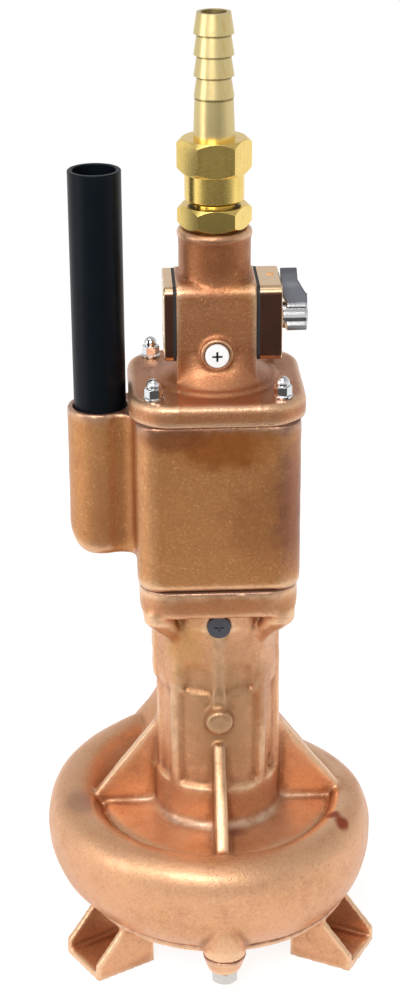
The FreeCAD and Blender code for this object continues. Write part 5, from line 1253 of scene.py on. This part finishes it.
def port_thread():
    """The thread's turns, a plain stretch short of the port's mouth and of its floor."""
    turns = (PORT_DEPTH - 2 * PLAIN_ENDS) / THREAD_PITCH
    g = Grower("port_thread", Radius=PORT_RADIUS + THREAD_SUNK, Pitch=THREAD_PITCH, Turns=turns,
               Ridge=THREAD_RIDGE)
    helix = g.add("GeometryNodeCurveSpiral",
                  inputs={"Resolution": TURN_STEPS, "Rotations": g["Turns"], "Start Radius": g["Radius"],
                          "End Radius": g["Radius"], "Height": g["Turns"] * g["Pitch"]})
    triangle = g.add("GeometryNodeCurvePrimitiveCircle", inputs={"Resolution": 3, "Radius": g["Ridge"]})
    ridge = g.add("GeometryNodeCurveToMesh",
                  inputs={"Curve": helix, "Profile Curve": triangle, "Fill Caps": True})
    mouth = Vector(port["pos_m"])
    place = Vector((mouth.x, mouth.y, mouth.z - PORT_DEPTH + PLAIN_ENDS))
    return g.grow(ridge, "port_thread_turns", pump_casing.data.materials[0], "pump_casing", place)


port_thread()

# %% [markdown]
# The floor is pale and plain, and the light is that of a small studio.
# The largest soft lamp stands close to the camera, a little to its left, so that every surface that
# faces the eye from a little above shines: the crests, ledges and shoulders of the castings. A
# weaker one hangs overhead, and one stands at the far left. To the camera and in reflections the
# floor shines of itself, so that it is white almost whatever the lamps do, and what it receives adds
# the soft shadows. Polished metal shows its form only against something dark, so a dark card lies in
# front of the set, seen by reflections alone.

# %% Floor and card
FLOOR_HALF = 60.0
FLOOR_DROP = 0.1 * MM
FLOOR_OWN_LIGHT = 0.82
FLOOR_SHADED = 0.33
FLOOR_PLAIN = 0.8
CARD_LEFT = -1.6
CARD_RIGHT = 1.6
CARD_FRONT = -3.2
CARD_BACK = -0.42
CARD_HEIGHT = 2 * MM


def flat_sheet(name, x0, x1, y0, y1, z):
    """A rectangle that looks up."""
    mesh = bpy.data.meshes.new(name)
    mesh.from_pydata([(x0, y0, z), (x1, y0, z), (x1, y1, z), (x0, y1, z)], [], [(0, 1, 2, 3)])
    piece = linked(name, mesh)
    return piece


def floor_finish():
    """Shines of itself for the eye and for reflections, and is a plain pale surface otherwise."""
    finish = Finish("floor_paper")
    rays = ("Is Camera Ray", "Is Glossy Ray", "Is Transmission Ray")
    seen = sum(finish.add("ShaderNodeLightPath", output=ray) for ray in rays)
    plain = finish.add("ShaderNodeBsdfDiffuse", inputs={"Color": grey(FLOOR_PLAIN)})
    shaded = finish.add("ShaderNodeBsdfDiffuse", inputs={"Color": grey(FLOOR_SHADED)})
    own = finish.add("ShaderNodeEmission", inputs={"Strength": FLOOR_OWN_LIGHT})
    bright = finish.add("ShaderNodeAddShader", inputs={0: shaded, 1: own})
    both = finish.add("ShaderNodeMixShader", inputs={0: seen.math("MINIMUM", 1.0), 1: plain, 2: bright})
    finish.tree.links.new(both.socket, finish.tree.nodes["Material Output"].inputs["Surface"])
    finish.material.cycles.emission_sampling = "NONE"
    return finish.material


def dark_card():
    """A dark board in front of the set, seen only in reflections."""
    card = flat_sheet("dark_card", CARD_LEFT, CARD_RIGHT, CARD_FRONT, CARD_BACK, CARD_HEIGHT)
    dress(card, moulded("card_black", rgb(0.05, 0.045, 0.04), rgb(0.07, 0.06, 0.05), 0.8))
    card.visible_camera = False
    card.visible_diffuse = False
    card.visible_shadow = False
    return card


floor = flat_sheet("floor", -FLOOR_HALF, FLOOR_HALF, -FLOOR_HALF, FLOOR_HALF, -FLOOR_DROP)
dress(floor, floor_finish())
dark_card()
print("floor at %.1f mm" % (-FLOOR_DROP / MM))

# %% [markdown]
# The room round the pump is pale, and brighter at eye level than overhead.
# Shiny metal shows it, so a room of one even tone would make the pump look flat. The camera sees
# plain white instead of the room. The lamps are large, because a large lamp makes a soft shadow, and
# each is aimed at the middle of the pump.

# %% World and lamps
SKY_LOW = 0.80
SKY_HIGH = 0.50
SKY_FROM = 0.15
SKY_TO = 0.9
LAMP_AIM = Vector((0.0, 0.0, 0.22))
LAMPS = {
    "lamp_by_camera": {"place": (-0.30, -1.05, 1.05), "size": (0.7, 0.5), "power": 9.0},
    "lamp_overhead": {"place": (-0.25, -0.25, 1.5), "size": (0.9, 0.7), "power": 2.5},
    "lamp_left": {"place": (-1.1, -0.45, 0.6), "size": (0.5, 0.9), "power": 3.5},
}


def studio_world():
    """A pale room: bright at eye level, greyer overhead, and white to the camera."""
    world = bpy.data.worlds.new("studio")
    world.use_nodes = True
    tree = world.node_tree
    up = add(tree, "ShaderNodeSeparateXYZ",
             inputs={"Vector": add(tree, "ShaderNodeTexCoord", output="Generated")}, output=2)
    level = up.rise(SKY_FROM, SKY_TO) * (SKY_HIGH - SKY_LOW) + SKY_LOW
    seen = add(tree, "ShaderNodeLightPath", output="Is Camera Ray")
    level = level + (1.0 - level) * seen
    tree.links.new(level.socket, tree.nodes["Background"].inputs["Strength"])
    tree.nodes["Background"].inputs["Color"].default_value = grey(1.0)
    bpy.context.scene.world = world


def softbox(name, place, size, power):
    """A rectangular lamp, aimed at the middle of the pump."""
    data = bpy.data.lights.new(name, "AREA")
    data.shape = "RECTANGLE"
    data.size, data.size_y = size
    data.energy = power
    lamp = bpy.data.objects.new(name, data)
    aim = LAMP_AIM - Vector(place)
    lamp.matrix_world = Matrix.Translation(place) @ aim.to_track_quat("-Z", "Y").to_matrix().to_4x4()
    bpy.context.scene.collection.objects.link(lamp)
    return lamp


studio_world()
for name, lamp in LAMPS.items():
    softbox(name, **lamp)
print(len(LAMPS), "lamps set")
